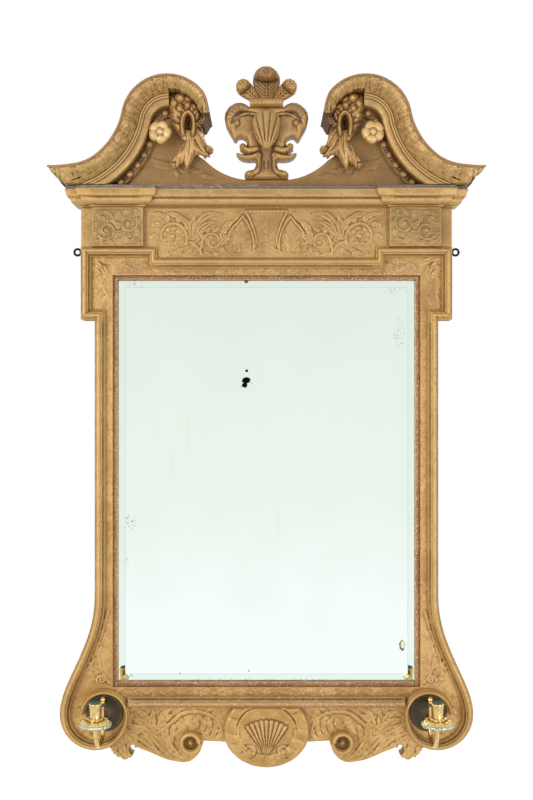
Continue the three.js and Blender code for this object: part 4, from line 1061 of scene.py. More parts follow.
field.stem(scroll(-108, 40, 22, 5, 200, -1.25), 5.5, 2.3, 3, gutter=0.8)
leaves_round(field, (-108, 40), 20, [(turn, reach, 8.5) for turn, reach in (
    (192, 9), (155, 12), (118, 14), (82, 14), (46, 13), (8, 12), (-32, 10),
    (-72, 9))], 1.9, 2.2, -0.5, -1.3, 0.4)
field.knob(-107, 40, 3.6, 2.3, ring=0.7)
for line, width in (
    ([(-147, 44), (-150, 66), (-147, 84), (-139, 101)], 13), ([(-146, 46), (-138, 74), (-118, 94),
    (-85, 96)], 17),
    ([(-143, 48), (-130, 68), (-114, 78), (-97, 79)], 13), ([(-136, 58), (-122, 66), (-108, 68)], 9),
    ([(-150, 60), (-163, 82), (-178, 98)], 12), ([(-160, 80), (-182, 94), (-206, 98)], 12),
    ([(-196, 88), (-214, 96), (-232, 98)], 9), ([(-92, 36), (-82, 46), (-70, 60)], 13),
    ([(-92, 44), (-86, 58), (-78, 74)], 11), ([(-90, 60), (-78, 76), (-62, 84)], 10),
    ([(-150, 30), (-156, 20), (-170, 15)], 9), ([(-166, 28), (-180, 20), (-196, 16)], 10),
    ([(-90, 30), (-84, 20), (-72, 15)], 9), ([(-122, 20), (-112, 14), (-98, 13)], 6),
):
    field.leaf(spline(line), width, 2.1, lobes=3.2, start=0.3)
# the pointed arch in the middle, with its scroll foot
field.leaf(spline([(-51, 22), (-52, 50), (-49, 84)]), 30, 1.3, lobes=4, start=0.5, vein=0.3)
field.stem(spline([(-74, 60), (-66, 71), (-57, 80), (-48, 93)]), 4.5, 2.2)
field.stem(spline([(-48, 93), (-37, 77), (-28, 56), (-25, 40), (-26, 28)]), 5, 2.6)
field.stem(spline([(-41, 101), (-31, 81), (-24, 60), (-21, 44), (-24, 29), (-31, 15)]), 4.6, 2.4, 3)
field.stem(scroll(-58, 27, 9, 2, 60, 1.4), 3.4, 1.8)
field.leaf(spline([(-34, 18), (-20, 20), (-8, 30), (0, 42)]), 12, 1.2, lobes=3, start=0.4)
field.groove(spline([(-76, 63), (-68, 75), (-58, 85), (-47, 97)]), 2.6, 1.8)
field.groove(spline([(-45, 91), (-34, 74), (-25, 53), (-22, 36)]), 2.2, 1.4)
for x in np.arange(-40, 1, 8.0):
    field.knob(x, 103.5, 3.6, 1.2)
field.groove([(-41, 107), (0, 107)], 5, 2.4)
for level in (30, 46, 62, 78):
    field.leaf([(0, level - 7), (0, level + 9)], 11 - level / 14, 1.2, lobes=2, start=0.4)
field.h *= 0.85
field.mirror()
board = [(-EAR_END_X, TOP_Z + 0.2), (-EAR_END_X, EAR_Z), (-EAR_X, EAR_Z), (-EAR_X, FRIEZE_Z)]
board += [(-x, z) for x, z in board[::-1]]
points, faces = carved_block(board, carved(field, FRIEZE - 0.9), 0)
piece("frieze_carved", wavy(points, 0.2, 70), faces, gilt_carcass, replaces="frieze_board",
      finish_of=gilt_front)

# %% [markdown]
# The blocks, ears, stiles and rails have shallow carving that years of dusting have worn. The blocks carry
# two scrolls each; the long boards a wavy stem with a leaf in each bay, which one function draws along any
# line. So the pattern keeps its pitch round the ears, as a carver's does who steps it off with dividers.

# %% Low vines for the blocks, ears, stiles and rails
def vine(ground, line, swing, pitch, height, width=3.2):
    """A wavy stem along a line, with a leaf in each bay and a small scroll at each turn."""
    line = finer(line, 1.0)
    s = lengths(line)
    along = np.gradient(line, axis=0)
    along /= np.linalg.norm(along, axis=1)[:, None]
    across = np.column_stack([-along[:, 1], along[:, 0]])
    wave = line + across * (swing * np.sin(2 * math.pi * s / pitch))[:, None]
    ground.stem(wave, width, height, gutter=0.35 * height)
    for k in range(int(s[-1] / (pitch / 2))):
        at = int((k + 0.5) * pitch / 2 / s[-1] * (len(line) - 1))
        turn = -1 if k % 2 else 1
        p, a, c = wave[at], along[at], across[at] * turn
        ground.leaf(spline([p, p - c * swing * 0.9 + a * pitch * 0.12, p - c * swing * 1.5 + a * pitch * 0.30]),
                    swing * 0.95, height, lobes=2.6, start=0.4)
        ground.leaf(spline([p, p - c * swing * 0.5 - a * pitch * 0.10, p - c * swing * 1.3 - a * pitch * 0.14]),
                    swing * 0.8, height, lobes=2.2, start=0.4)
        ground.leaf(spline([p, p + c * swing * 0.4 + a * pitch * 0.10, p + c * swing * 0.5 + a * pitch * 0.22]),
                    swing * 0.6, height * 0.9, lobes=2, start=0.4)


block = Ground(-352, -241, 26, 113)
for x, z, way in ((-318, 62, 1), (-275, 76, -1)):
    block.stem(scroll(x, z, 20, 4, 215 if way > 0 else 35, 1.4 * way), 4.4, 1.4, 2.6, gutter=0.4)
    block.knob(x, z, 4.4, 1.8, ring=0.5)
    leaves_round(block, (x, z), 19, [(turn, 15, 9.5) for turn in range(10, 370, 45)], 1.3, 2.4, 0.6 * way,
                 1.3 * way, 0.5, middle=8 / 15)
for line in ([(-338, 92), (-322, 98), (-306, 92)], [(-258, 46), (-270, 40), (-286, 44)], [(-340, 40),
              (-326, 38)],
             [(-256, 100), (-266, 101)]):
    block.leaf(spline(line), 9, 1.3, lobes=3, start=0.4)
block.groove(finer([(-343, 35), (-250, 35), (-250, 104), (-343, 104), (-343, 35)], 2), 1.4, 0.6)
points, faces = carved_block([(-BLOCK_X, EAR_Z + 0.1), (-BLOCK_INNER_X, EAR_Z + 0.1),
                              (-BLOCK_INNER_X, FRIEZE_Z), (-BLOCK_X, FRIEZE_Z)],
                             carved(block, BLOCK_FRONT - 0.8), FRIEZE - 1.5, soften=1.6)
pair("frieze_block", wavy(points, 0.4, 60), faces, [block_gilding, ochre],
     finish_of=lambda c, n: np.where((n[:, 1] > -0.25) & (c[:, 1] > -50), 1, 0))

side = Ground(-430, -205, -1012, 34)
vine(side, [(-326, -8), (-326, -660)], 6.5, 46, 0.9)
vine(side, [(-345, -90), (-345, 2)], 5, 40, 1.0)
vine(side, [(-352, 4), (-226, 4)], 5, 40, 1.0)
for line, width in (([(-356, 15), (-340, -2), (-326, -20)], 14), ([(-357, -6), (-342, -16), (-330, -34)], 12),
                    ([(-350, 14), (-326, 6), (-306, -6)], 14), ([(-300, 12), (-286, 4), (-272, -8)], 12)):
    side.leaf(spline(line), width, 1.7, lobes=3, start=0.3)
# the panel that swells out to the candle plate
acanthus(side, spline([(-318, -700), (-330, -742), (-344, -782), (-352, -822),
                       (-338, -846)]), 6, 1.9, 6, 1.25, -1)
acanthus(side, spline([(-316, -845), (-332, -820), (-336, -790), (-330, -760)]), 5, 1.7, 4, 1.1, 1)
side.stem(scroll(-362, -806, 14, 3, 60, 1.3), 4, 1.8, gutter=0.6)
side.stem(scroll(-331, -838, 10, 2.5, 200, -1.2), 3.6, 1.7, gutter=0.5)

def behind_side(x, z):
    return np.where((x > -315.6) & (z < -18) & (z > -860), GLASS_BACK, 0.0)


foot = flare[flare[:, 1] > FOOT_Z]
cross_x = np.interp(-FOOT_Z, -flare[:, 1], flare[:, 0])
stile = [(-SLIP_X, FOOT_Z), (-SLIP_X, TOP_Z - 0.1), (-STILE_X, TOP_Z - 0.1), *foot.tolist(), (cross_x, FOOT_Z)]
points, faces = carved_block(stile, carved(side), behind_side, 1.6, soften=0.05)
pair("stile", wavy(points, 0.25), faces, [stile_gilding, ochre, upright_pine], finish_of=gilt_front)
ear = [(-EAR_END_X, EAR_Z), (-EAR_X, EAR_Z), (-EAR_X, EAR_FOOT_Z), (-STILE_X - 0.1, EAR_FOOT_Z),
       (-STILE_X - 0.1, TOP_Z), (-EAR_END_X, TOP_Z)]
points, faces = carved_block(ear, carved(side), 0, 1.5, soften=0.05)
pair("ear_block", points, faces, gilt_carcass, finish_of=gilt_front)

rail = Ground(-312, 312, -893, 12)
vine(rail, [(-300, -8), (-4, -8)], 6, 44, 0.9)
vine(rail, [(-300, -862), (-4, -862)], 4, 34, 0.7)
rail.mirror()
for name, low_z, high_z, behind in (
        ("top_rail", RAIL_Z, TOP_Z, lambda x, z: np.where(z < -18.5, GLASS_BACK, 0.0)),
        ("bottom_rail", FOOT_Z, SILL_Z, lambda x, z: np.where(z > -859.5, GLASS_BACK, 0.0))):
    corners = [(-SLIP_X, low_z), (SLIP_X, low_z), (SLIP_X, high_z), (-SLIP_X, high_z)]
    points, faces = carved_block(corners, carved(rail), behind, 1.6, soften=0.05)
    piece(name + "_carved", points, faces, [rubbed_gilding, ochre, pine], replaces=name, finish_of=gilt_front)
print("upper boards:", made_faces, "triangles so far")

# %% [markdown]
# The apron is the frame's lower board, sawn to a wavy edge. Its leaves are long strands that follow that
# edge, so each is drawn as its own stroke and not repeated by a rule; the outline joins the flare, the
# volute, the ragged leaves beside the candle plate, the wave and the roundel's disc.

# %% Apron
apron = Ground(-420, 420, -1014, -884)
for line, width, height in (
    # ragged leaves beside the candle plate
    ([(-304, -958), (-306, -974), (-303, -990)], 17, 3.0), ([(-296, -956), (-291, -974),
    (-285, -995)], 18, 3.4),
    ([(-288, -950), (-275, -964), (-271, -990)], 18, 3.2), ([(-284, -948), (-268, -955),
    (-263, -974)], 14, 3.0),
    # long strands that run down into the scroll's edge
    ([(-290, -940), (-262, -948), (-240, -962), (-214, -990)], 19, 3.6),
    ([(-276, -932), (-246, -940), (-220, -960), (-198, -988), (-184, -1000)], 19, 4.0),
    ([(-246, -926), (-222, -938), (-204, -964), (-188, -990)], 18, 3.6),
    ([(-204, -926), (-204, -952), (-190, -980), (-164, -999)], 19, 4.0),
    ([(-184, -928), (-190, -946), (-188, -966)], 12, 3.0),
    ([(-154, -994), (-140, -989), (-131, -974)], 10, 2.6),
    # upright pod and the leaves around it
    ([(-228, -958), (-231, -930), (-227, -897)], 19, 3.4), ([(-236, -938), (-250, -924),
    (-268, -916)], 16, 2.8),
    ([(-236, -924), (-248, -908), (-262, -902)], 14, 2.6), ([(-218, -936), (-206, -918),
    (-186, -908)], 17, 3.0),
    ([(-214, -918), (-206, -906), (-192, -898)], 12, 2.4), ([(-268, -938), (-276, -926),
    (-274, -910)], 12, 2.2),
    # leaves by the roundel
    ([(-120, -950), (-114, -930), (-118, -912)], 11, 2.2), ([(-110, -953), (-102, -936),
    (-105, -918)], 11, 2.2),
    ([(-130, -946), (-127, -926), (-134, -912)], 11, 2.2), ([(-98, -957), (-93, -947), (-92, -934)], 9, 2.0),
    ([(-142, -936), (-141, -922), (-148, -910)], 9, 1.8), ([(-160, -932), (-160, -920), (-166, -912)], 9, 1.8),
):
    apron.leaf(spline(line), width, height, lobes=3.0, start=0.5, sharp=0.14, vein=0.14)
apron.stem(spline([(-188, -922), (-170, -907), (-148, -902), (-124, -905), (-104, -916), (-92, -934),
                   (-88, -950)]), 8, 3.4, 5, gutter=1.0)
apron.stem(spline([(-188, -922), (-197, -930), (-198, -942), (-191, -950)]), 7, 3.0, 4, gutter=0.8)
apron.stem(scroll(-112, -894, 6, 1.5, 200, 1.2), 3.4, 1.8)
apron.h *= 0.62
apron.h += 0.35 * np.sin(apron.X * 0.32 + 1.5 * np.sin(apron.Z * 0.17)) * np.sin(apron.Z * 0.28)
apron.mirror()
PLATE = np.array([-PLATE_X, PLATE_Z])
volute_edge = volute_point(np.linspace(180, 283, 40))
lobe = PLATE + [(9, -72), (13, -74), (12, -78), (16.5, -79), (16, -84), (21, -84.5), (25, -91), (30, -89.5),
                (36, -95), (43, -95.3), (48, -91), (51.5, -92), (56, -86), (50.5, -84), (47, -78), (47.5, -71),
                (51, -66.5), (57, -64.6), (59, -67), (60.5, -73), (65, -70)]
SCROLL = np.array([-152, -961.5])
wave = spline(SCROLL + [(-110, -12), (-98, -17), (-80, -24), (-62, -32), (-46, -38), (-30, -41), (-16, -43),
                        (-3, -41), (8, -34), (18, -22), (23.4, -8), (26, 0.4)], 2.0)
ROUNDEL_Z = -937
disc = [(83 * math.cos(a), ROUNDEL_Z + 71 * math.sin(a)) for a in np.radians(np.linspace(202, 270, 40))]
half = np.vstack([[(cross_x, FOOT_Z)], flare[flare[:, 1] < FOOT_Z][:-1], volute_edge, lobe, wave[2:], disc])
outline = np.vstack([half, half[::-1][1:] * (-1, 1)])


def apron_front(x, z):
    """Carved all over, but flat round the candle plates and along the joint with the rail."""
    clear_of_plate = smooth_step((np.hypot(np.abs(x) - PLATE_X, z - PLATE_Z) - 45) / 6)
    return FACE - 0.6 + (apron.at(x, z) - 0.8) * clear_of_plate * smooth_step((FOOT_Z - z) / 4)


points, faces = carved_block(outline, apron_front, 0, 1.4, soften=2.0, joint=FOOT_Z)
piece("apron_board_carved", wavy(points, 0.25), faces, gilt_carcass, replaces="apron_board",
      finish_of=gilt_front)

# %% [markdown]
# The board between the swan necks is plain but for a few low leaves, and its gilding is darker and duller
# than the frame's. Its outline follows the necks' own arcs, a little inside them, so that no gap can open there.

# %% Tympanum
low = Ground(-430, 430, 146, 345)
for line in ([(-232, 208), (-216, 200), (-194, 197), (-176, 204)], [(-226, 196), (-206, 190), (-186, 190)],
             [(-176, 196), (-168, 184), (-158, 180)], [(-158, 190), (-140, 182), (-126, 184)],
             [(-182, 186), (-178, 176), (-180, 168)], [(-130, 176), (-112, 170), (-98, 172)]):
    low.leaf(spline(line), 9, 1.3, lobes=3, start=0.3)
low.mirror()
under_hollow = arc(-HOLLOW_X, HOLLOW_Z, HOLLOW_R + 24.5, -90, BEND - 180, 4)
under_hollow = under_hollow[under_hollow[:, 1] > PEDIMENT_Z + 2.5]
under_curl = arc(-SCROLL_X, SCROLL_Z, SCROLL_R - 24.5, BEND, -20, 3)[1:]
t = np.linspace(0, 1, 26)[:, None]
dip = (1 - t) ** 2 * (-123, 204) + 2 * t * (1 - t) * (-90, 171.5) + t**2 * (-46, 165.7)
half = np.vstack([[(under_hollow[0, 0], PEDIMENT_Z + 0.2)], under_hollow, under_curl,
                  [(-138, 232), (-136, 213)], dip])
outline = np.vstack([half, half[::-1] * (-1, 1)])
points, faces = carved_block(outline, carved(low, 41.2), 0, 2.0)
# a darker, duller gilding than the frame's, for the whole board
darker_tympanum_gilding = water_gilding("darker_tympanum_water_gilding", "#A87F4A", "#94703F", "#5A4122", extra_shade_and_dirt=0.05,
                              foot=0.157)
piece("tympanum_carved", wavy(points, 0.5, 90), faces, [darker_tympanum_gilding, ochre, pine],
      replaces="tympanum_board", finish_of=gilt_front)
print("boards:", made_faces, "triangles so far")


# %% [markdown]
# ## Sculpted ornament
# The plume, the shell cartouche, the hanging leaves, the rosettes and the roundel are carved from the solid
# in lime or pine. They stand further forward than the boards, so their grounds are domed and their strokes
# deep. Feathers have a midrib and slanting barbs, and their tips roll forward.

# %% Feathers of the plume
PLUME_Z = 322.5


def feather(root, tip, low_depth, high_depth, half_width, roll=0.40):
    """Front depths of a feather that lies along the line from root to tip."""
    root, tip = np.array(root, float), np.array(tip, float)
    length = np.linalg.norm(tip - root)
    axis = (tip - root) / length

    def front(x, z):
        u = ((x - root[0]) * axis[0] + (z - root[1]) * axis[1]) / length
        w = (x - root[0]) * -axis[1] + (z - root[1]) * axis[0]
        curl = smooth_step((u - (1 - roll)) / 0.12)
        slope = 1.5 * np.abs(np.sin(math.pi * (u * length - np.abs(w) * 0.9) / 7)) ** 0.8
        rib = 1.5 * np.exp(-((w / 1.6) ** 2)) - 0.8 * np.exp(-(((np.abs(w) - 3) / 1.2) ** 2))
        cup = low_depth + (high_depth - low_depth) * (0.40 - 0.20 * np.sin(math.pi * np.clip(u, 0, 1) * 0.8))
        cup = cup + 2.5 * np.cos(w / 9)
        ball = 1 - ((u - 0.83) / 0.27) ** 2 - (w / (half_width + 1)) ** 2
        tip_over = cup + (high_depth - low_depth - 14) * smooth_step(np.clip(ball, 0, 1) * 1.25) ** 0.7
        return tip_over + (slope + rib) * (1 - 0.2 * curl)
    return front


half = [(12, 0), (15, 8), (18, 14), (24.5, 26), (27.5, 39), (26.5, 50), (21, 59), (13, 63.3), (5, 64.8),
        (0, 65)]
outline = np.array(half + [(-x, z) for x, z in half[-2::-1]]) + (0, PLUME_Z)
points, faces = carved_block(outline, feather((0, PLUME_Z), (0, PLUME_Z + 65), 34, 66, 27),
                             lambda x, z: 32 + 16 * np.clip((z - PLUME_Z - 30) / 34, 0, 1) ** 2, 1.2, soften=3.2)
bronze_gilding = water_gilding("bronzed_water_gilding", "#C79F61", "#A47A43", "#553A20", extra_shade_and_dirt=0.06)
# painted shade: the centre feather takes the darker gilding
piece("plume_centre_carved", points, faces, painted_shade_gilding, replaces="plume_centre")
half = [(-12, 0), (-16, 10), (-20, 20), (-25, 29), (-31, 36.5), (-39, 41), (-48, 41.5), (-56, 38), (-60.5, 31),
        (-60.5, 23), (-56, 15.5), (-48, 10), (-39, 5), (-31, 0)]
outline = np.array(half) + (0, PLUME_Z)
points, faces = carved_block(outline, feather((-19, PLUME_Z), (-55, PLUME_Z + 38), 34, 62, 21), 32.3, 1.2,
                             soften=3.0)
for name, turn in (("plume_left", 1), ("plume_right", -1)):
    piece(name + "_carved", points * (turn, 1, 1), faces, bronze_gilding, replaces=name)

# %% [markdown]
# The cartouche is a shaped body with a scrolled hood on each side, a neck on a spread foot and a ribbed
# shell let into its face. It could be sculpted, but its parts are few and round: fat stems and knobs on one
# ground give them, and the shell is a dome with ribs that fan out from a point below it.

# %% Band, cartouche and shell
points, faces = carved_block(
    [(-33, 306.6), (33, 306.6), (33, 322.4), (-33, 322.4)],
    lambda x, z: 62 + 9 * np.sqrt(np.clip(1 - ((z - 313.5) / 10) ** 2, 0, 1))
    + 1.3 * np.abs(np.sin(math.pi * (x + 2) / 7.0)) * smooth_step((z - 308) / 6), 24.2, 1.1, soften=3)
piece("plume_band_carved", points, faces, bronze_gilding, replaces="plume_band")

BASE_Z = 165.5
mask = Ground(-92, 92, 160, 322)
left_parts = (
    # (line, width, height, gutter): the hood, the lip under it, the sides and the curls of each half
    ([(-8, 298), (-30, 306), (-50, 309), (-66, 303), (-75, 290), (-77, 275), (-72, 262)], 27, 12, 0),
    ([(-20, 291), (-38, 294), (-53, 290), (-63, 281)], 8, 11, 0),
    ([(-36, 284), (-33, 262), (-30, 244), (-22, 226)], 26, 6, 0),
    ([(-20, 224), (-34, 222), (-44, 225), (-49, 231)], 13, 8, 0),
    ([(-16, 212), (-32, 207), (-46, 208), (-58, 214)], 14, 8, 0.6),
    ([(-18, 206), (-17, 190), (-22, 180), (-34, 175)], 15, 7, 0),
    ([(-66, 270), (-66, 256), (-62, 243)], 19, 9, 0),
)
mask.knob(-52, 270, 32, 7)
for line, width, height, gutter in left_parts:
    mask.stem(spline(line), width, height, width * 0.75, gutter=gutter)
for k in range(6):  # flutes of the hood
    a = math.radians(190 - 24 * k)
    mask.groove([(-52 + 17 * math.cos(a), 288 + 12 * math.sin(a)),
                 (-52 + 29 * math.cos(a), 288 + 25 * math.sin(a))], 2.6, 0.8)
mask.knob(-59, 275, 10.5, 11.5, ring=2.4)
mask.knob(-59, 275, 4.5, 13.5)
mask.knob(-49, 230, 8.5, 10.5, ring=1.6)
mask.knob(-36, 176, 11, 9, ring=1.6)
mask.mirror()
body_half = [(40, 0.3), (44, 5), (43.5, 11), (39, 15), (32, 17), (25, 20), (21.5, 26), (20.5, 34), (24, 37.6),
             (36, 37), (48, 39), (56, 44), (60.5, 51), (57, 52), (50, 49.5), (43, 50), (42, 53), (48, 55.5),
             (53.5, 60), (54, 66), (49, 70.5), (43, 70), (39.5, 67), (39, 73), (42, 80), (49.5, 84.5),
             (56, 83), (60, 78),
             (63, 76.5), (66.5, 80), (70, 87), (76, 97), (81, 107), (83.5, 120), (82, 132), (74, 144),
             (62, 151),
             (50, 151), (42, 147.5), (33, 141.2)]
outline = np.array(body_half + [(-x, z) for x, z in body_half[::-1]]) + (0, BASE_Z)


def cartouche_front(x, z):
    swell = 6 * np.exp(-((x / 34) ** 2) - (((z - 262) / 40) ** 2))
    flutes = -1.2 * np.abs(np.sin(math.pi * x / 8)) * smooth_step((206 - z) / 8) * (z > 186)
    return 50 + mask.at(x, z) + swell + flutes


def cartouche_finish(centres, normals):
    """Painted shade: darker gilding on the sides, the neck and the hood."""
    x, z = centres[:, 0], centres[:, 2]
    neck = (np.abs(x) < 20) & (z > 180) & (z < 224)
    hood = (np.abs(x) > 34 + 3 * np.sin(z * 0.7)) & (z > 291 + 5 * np.sin(x * 0.25))
    return np.where((normals[:, 1] > -0.2) | neck | hood, 1, 0)


points, faces = carved_block(outline, cartouche_front, 20.2, 1.3, soften=5)
points[:, 2] = np.minimum(points[:, 2], 67.8)  # the shell is set on the body at this depth
piece("cartouche_carved", points, faces, [bronze_gilding, painted_shade_gilding], replaces="cartouche_body",
      finish_of=cartouche_finish)

shell_half = [(0, 54.5), (5, 57), (11, 61.5), (16, 68), (21, 77), (25.5, 89), (28, 101), (27.5, 112),
              (23.5, 121),
              (16, 127.5), (8, 130.5), (0, 131)]
outline = np.array(shell_half + [(-x, z) for x, z in shell_half[-2:0:-1]]) + (0, BASE_Z)


def shell_front(x, z):
    angle = np.arctan2(x, z - (BASE_Z + 40))
    far_out = np.hypot(x, z - (BASE_Z + 40)) / 90
    ribs = np.abs(np.cos(angle * 9 * math.pi / 1.6)) ** 0.8
    dome = np.sqrt(np.clip(1 - (x / 31) ** 2 - ((z - BASE_Z - 96) / 44) ** 2, 0, 1))
    fade = smooth_step((far_out - 0.12) / 0.3) * smooth_step((1.06 - far_out) / 0.1)
    return 68.2 + 9.5 * dome + 2.6 * ribs * fade


points, faces = carved_block(outline, shell_front, 66.5, 1.0, soften=1.6)
piece("cartouche_shell_carved", points, faces, bronze_gilding, replaces="cartouche_shell")

# %% [markdown]
# A bunch of acanthus hangs from the end of each neck: a mass of rounded leaves under the curl, a loop with
# a hole through it, and long tips below. Broad strokes with few lobes overlap here, and knobs give the
# lumps that a carver leaves between them.

# %% Hanging leaves at the swan necks' ends
CURL = np.array([-SCROLL_X, SCROLL_Z], float)
hanging = Ground(-212, -92, 160, 345)
for line, width, height in (
    # the mass of leaves under the curl
    ([(34, 14), (14, 34), (2, 58)], 26, 12), ([(36, 18), (26, 44), (18, 62)], 26, 14),
    ([(40, 20), (40, 42), (36, 58)], 24, 13), ([(44, 18), (54, 34), (54, 50)], 24, 14),
    ([(46, 12), (60, 22), (66, 32)], 22, 12), ([(48, 4), (58, 6), (68, 12)], 20, 10),
    ([(28, 8), (18, 14), (8, 28)], 20, 9),
):
    hanging.leaf(spline(CURL + line), width, height + 6, lobes=1.7, start=0.6, sharp=0.2, vein=0.08)
hanging.stem(spline(CURL + [(28, -20), (27, 0), (30, 16), (38, 23), (47, 16), (50, 0), (48, -20)]), 10, 20)
for line, width, height in (
    ([(30, -10), (32, -34), (24, -54), (6, -74)], 26, 15), ([(32, -30), (26, -58), (14, -84)], 24, 13),
    ([(40, -10), (41, -44), (34, -90)], 26, 16), ([(48, -10), (52, -36), (66, -53), (80, -60)], 26, 15),
    ([(44, -40), (52, -60), (54, -72)], 20, 12), ([(50, -4), (62, -24), (70, -38), (82, -50)], 15, 13),
):
    hanging.leaf(spline(CURL + line), width, height, lobes=1.4, start=0.7, sharp=0.14, vein=0.07)
for line in ([(34, -22), (36, -44), (30, -68)], [(44, -20), (47, -44), (44, -70)], [(27, -44), (20, -60),
              (10, -72)],
             [(52, -30), (60, -46), (72, -56)]):
    hanging.groove(spline(CURL + line), 2.4, 1.6)
hanging.knob(CURL[0] + 80, CURL[1] - 47, 8, 19, ring=3)
for x, z, r, high in ((10, 40, 12, 19), (24, 52, 13, 22), (40, 50, 12, 22), (54, 36, 12, 20), (22, 30, 11, 20),
                      (60, 20, 10, 17), (14, 18, 11, 16), (38, 36, 10, 23)):
    hanging.knob(CURL[0] + x, CURL[1] + z, r, high, ring=1.2)
lumps = 0.8 * np.sin(hanging.X * 0.5 + 2 * np.sin(hanging.Z * 0.23)) * np.sin(hanging.Z * 0.55 + 1)
hanging.h += lumps * (hanging.h > 3) * smooth_step((hanging.Z - 282) / 12)
leaf_outline = np.vstack([
    arc(0, 0, 65.0, 88, 0, 4),
    [(66, -8), (70, -18), (72, -30), (76, -38), (84, -40), (88, -47), (86.5, -54), (80, -57), (82, -62),
     (75, -61), (72, -66), (66, -60), (58, -57), (50, -62), (44, -74), (38, -83), (32.5, -93), (27, -80),
     (22, -76), (16, -84), (8, -84), (1, -77), (6, -66), (16, -54), (26, -42), (31, -33), (24, -24),
     (14, -10), (4, 4),
     (0.6, 20)]]) + CURL
slot_hole = [(CURL[0] + 38.2 + 2.6 * math.cos(a), CURL[1] + 2 + 8.5 * math.sin(a))
             for a in np.linspace(0, 2 * math.pi, 17)[:-1]]
LEAF_BACK, LEAF_FRONT = 42.3, 95.8


def behind_leaf(x, z):
    """The leaf thins towards its hanging tips and its inner one."""
    return LEAF_BACK + 22 * smooth_step((CURL[1] - 28 - z) / 40) + 14 * smooth_step((x - CURL[0] - 60) / 20)


points, faces = carved_block(leaf_outline, carved(hanging, 66), behind_leaf, 1.2, holes=[slot_hole], soften=7)
points[:, 2] = np.clip(points[:, 2], LEAF_BACK, LEAF_FRONT)
leaf_gilding = water_gilding("leaf_water_gilding", "#C9A268", "#A98049", "#5C4026", rub=0.05, chips=0.07,
                             extra_shade_and_dirt=0.02, top_shade=0.06)
# painted shade: faces that turn away from the front take the darker gilding
pair("scroll_leaf", points, faces, [leaf_gilding, painted_shade_gilding],
     finish_of=lambda c, n: np.where(n[:, 1] > -0.15, 1, 0))

# %% [markdown]
# A five-petalled rosette sits in each curl on a short turned stalk, in newer and paler gold. The stalk
# comes from a lathe, which spins a profile round an axis; the brass work below uses it too.

# %% Rosettes
ROSETTE = np.array([-210.0, 252.0])


def lathe(profile, x=0.0, depth=0.0, turns=48, axis="z"):
    """A profile (radius, height) spun round an upright axis, or round one that points forward."""
    profile = np.asarray(profile, float)
    angle = np.linspace(0, 2 * math.pi, turns, endpoint=False)
    rings = [np.column_stack([r * np.cos(angle), r * np.sin(angle), np.full(turns, h)]) for r, h in profile]
    flat = np.vstack(rings)
    faces = between_rings(len(profile), turns)
    if axis == "z":
        return np.column_stack([flat[:, 0] + x, flat[:, 2], depth - flat[:, 1]]), faces
    return np.column_stack([flat[:, 0] + x, flat[:, 1] + depth, flat[:, 2]]), faces


def joined(*parts):
    points, faces, begin = [], [], 0
    for p, f in parts:
        points.append(p)
        faces += [[int(v) + begin for v in face] for face in f]
        begin += len(p)
    return np.vstack(points), faces


turn = np.linspace(0, 2 * math.pi, 121)[:-1]
reach = 19.0 + 3.8 * np.abs(np.cos(2.5 * turn + 0.3)) ** 0.6 + 0.5 * np.sin(7 * turn)
petals = np.column_stack([reach * np.cos(turn), reach * np.sin(turn)]) + ROSETTE


def rosette_front(x, z):
    r, a = np.hypot(x - ROSETTE[0], z - ROSETTE[1]), np.arctan2(z - ROSETTE[1], x - ROSETTE[0])
    lobes = np.abs(np.cos(2.5 * a + 0.3))
    cupped = 2.2 * lobes**0.7 * smooth_step(r / 12) - 3.0 * smooth_step((r - 15) / 9)
    button = 4.5 * np.exp(-((r / 5) ** 2)) - 1.6 * np.exp(-(((r - 7.5) / 2) ** 2))
    return 84 + button + cupped + 0.4 * np.sin(x * 0.4 + 1) * np.sin(z * 0.33)


points, faces = joined(carved_block(petals, rosette_front, 74, 1.1, soften=3.0),
                       lathe([(6, 42.5), (6, 60), (7, 70), (10, 75)], ROSETTE[0], ROSETTE[1], 24, axis="y"))
pair("rosette", points, faces, pale_gilding)

# %% [markdown]
# In the middle of the apron is a domed roundel with a lobed border and a shell, and to each side of it a
# small volute, wound like a snail. Both follow simple rules in polar coordinates, so their height is a
# formula of distance and angle, which is crisper than strokes on a ground.

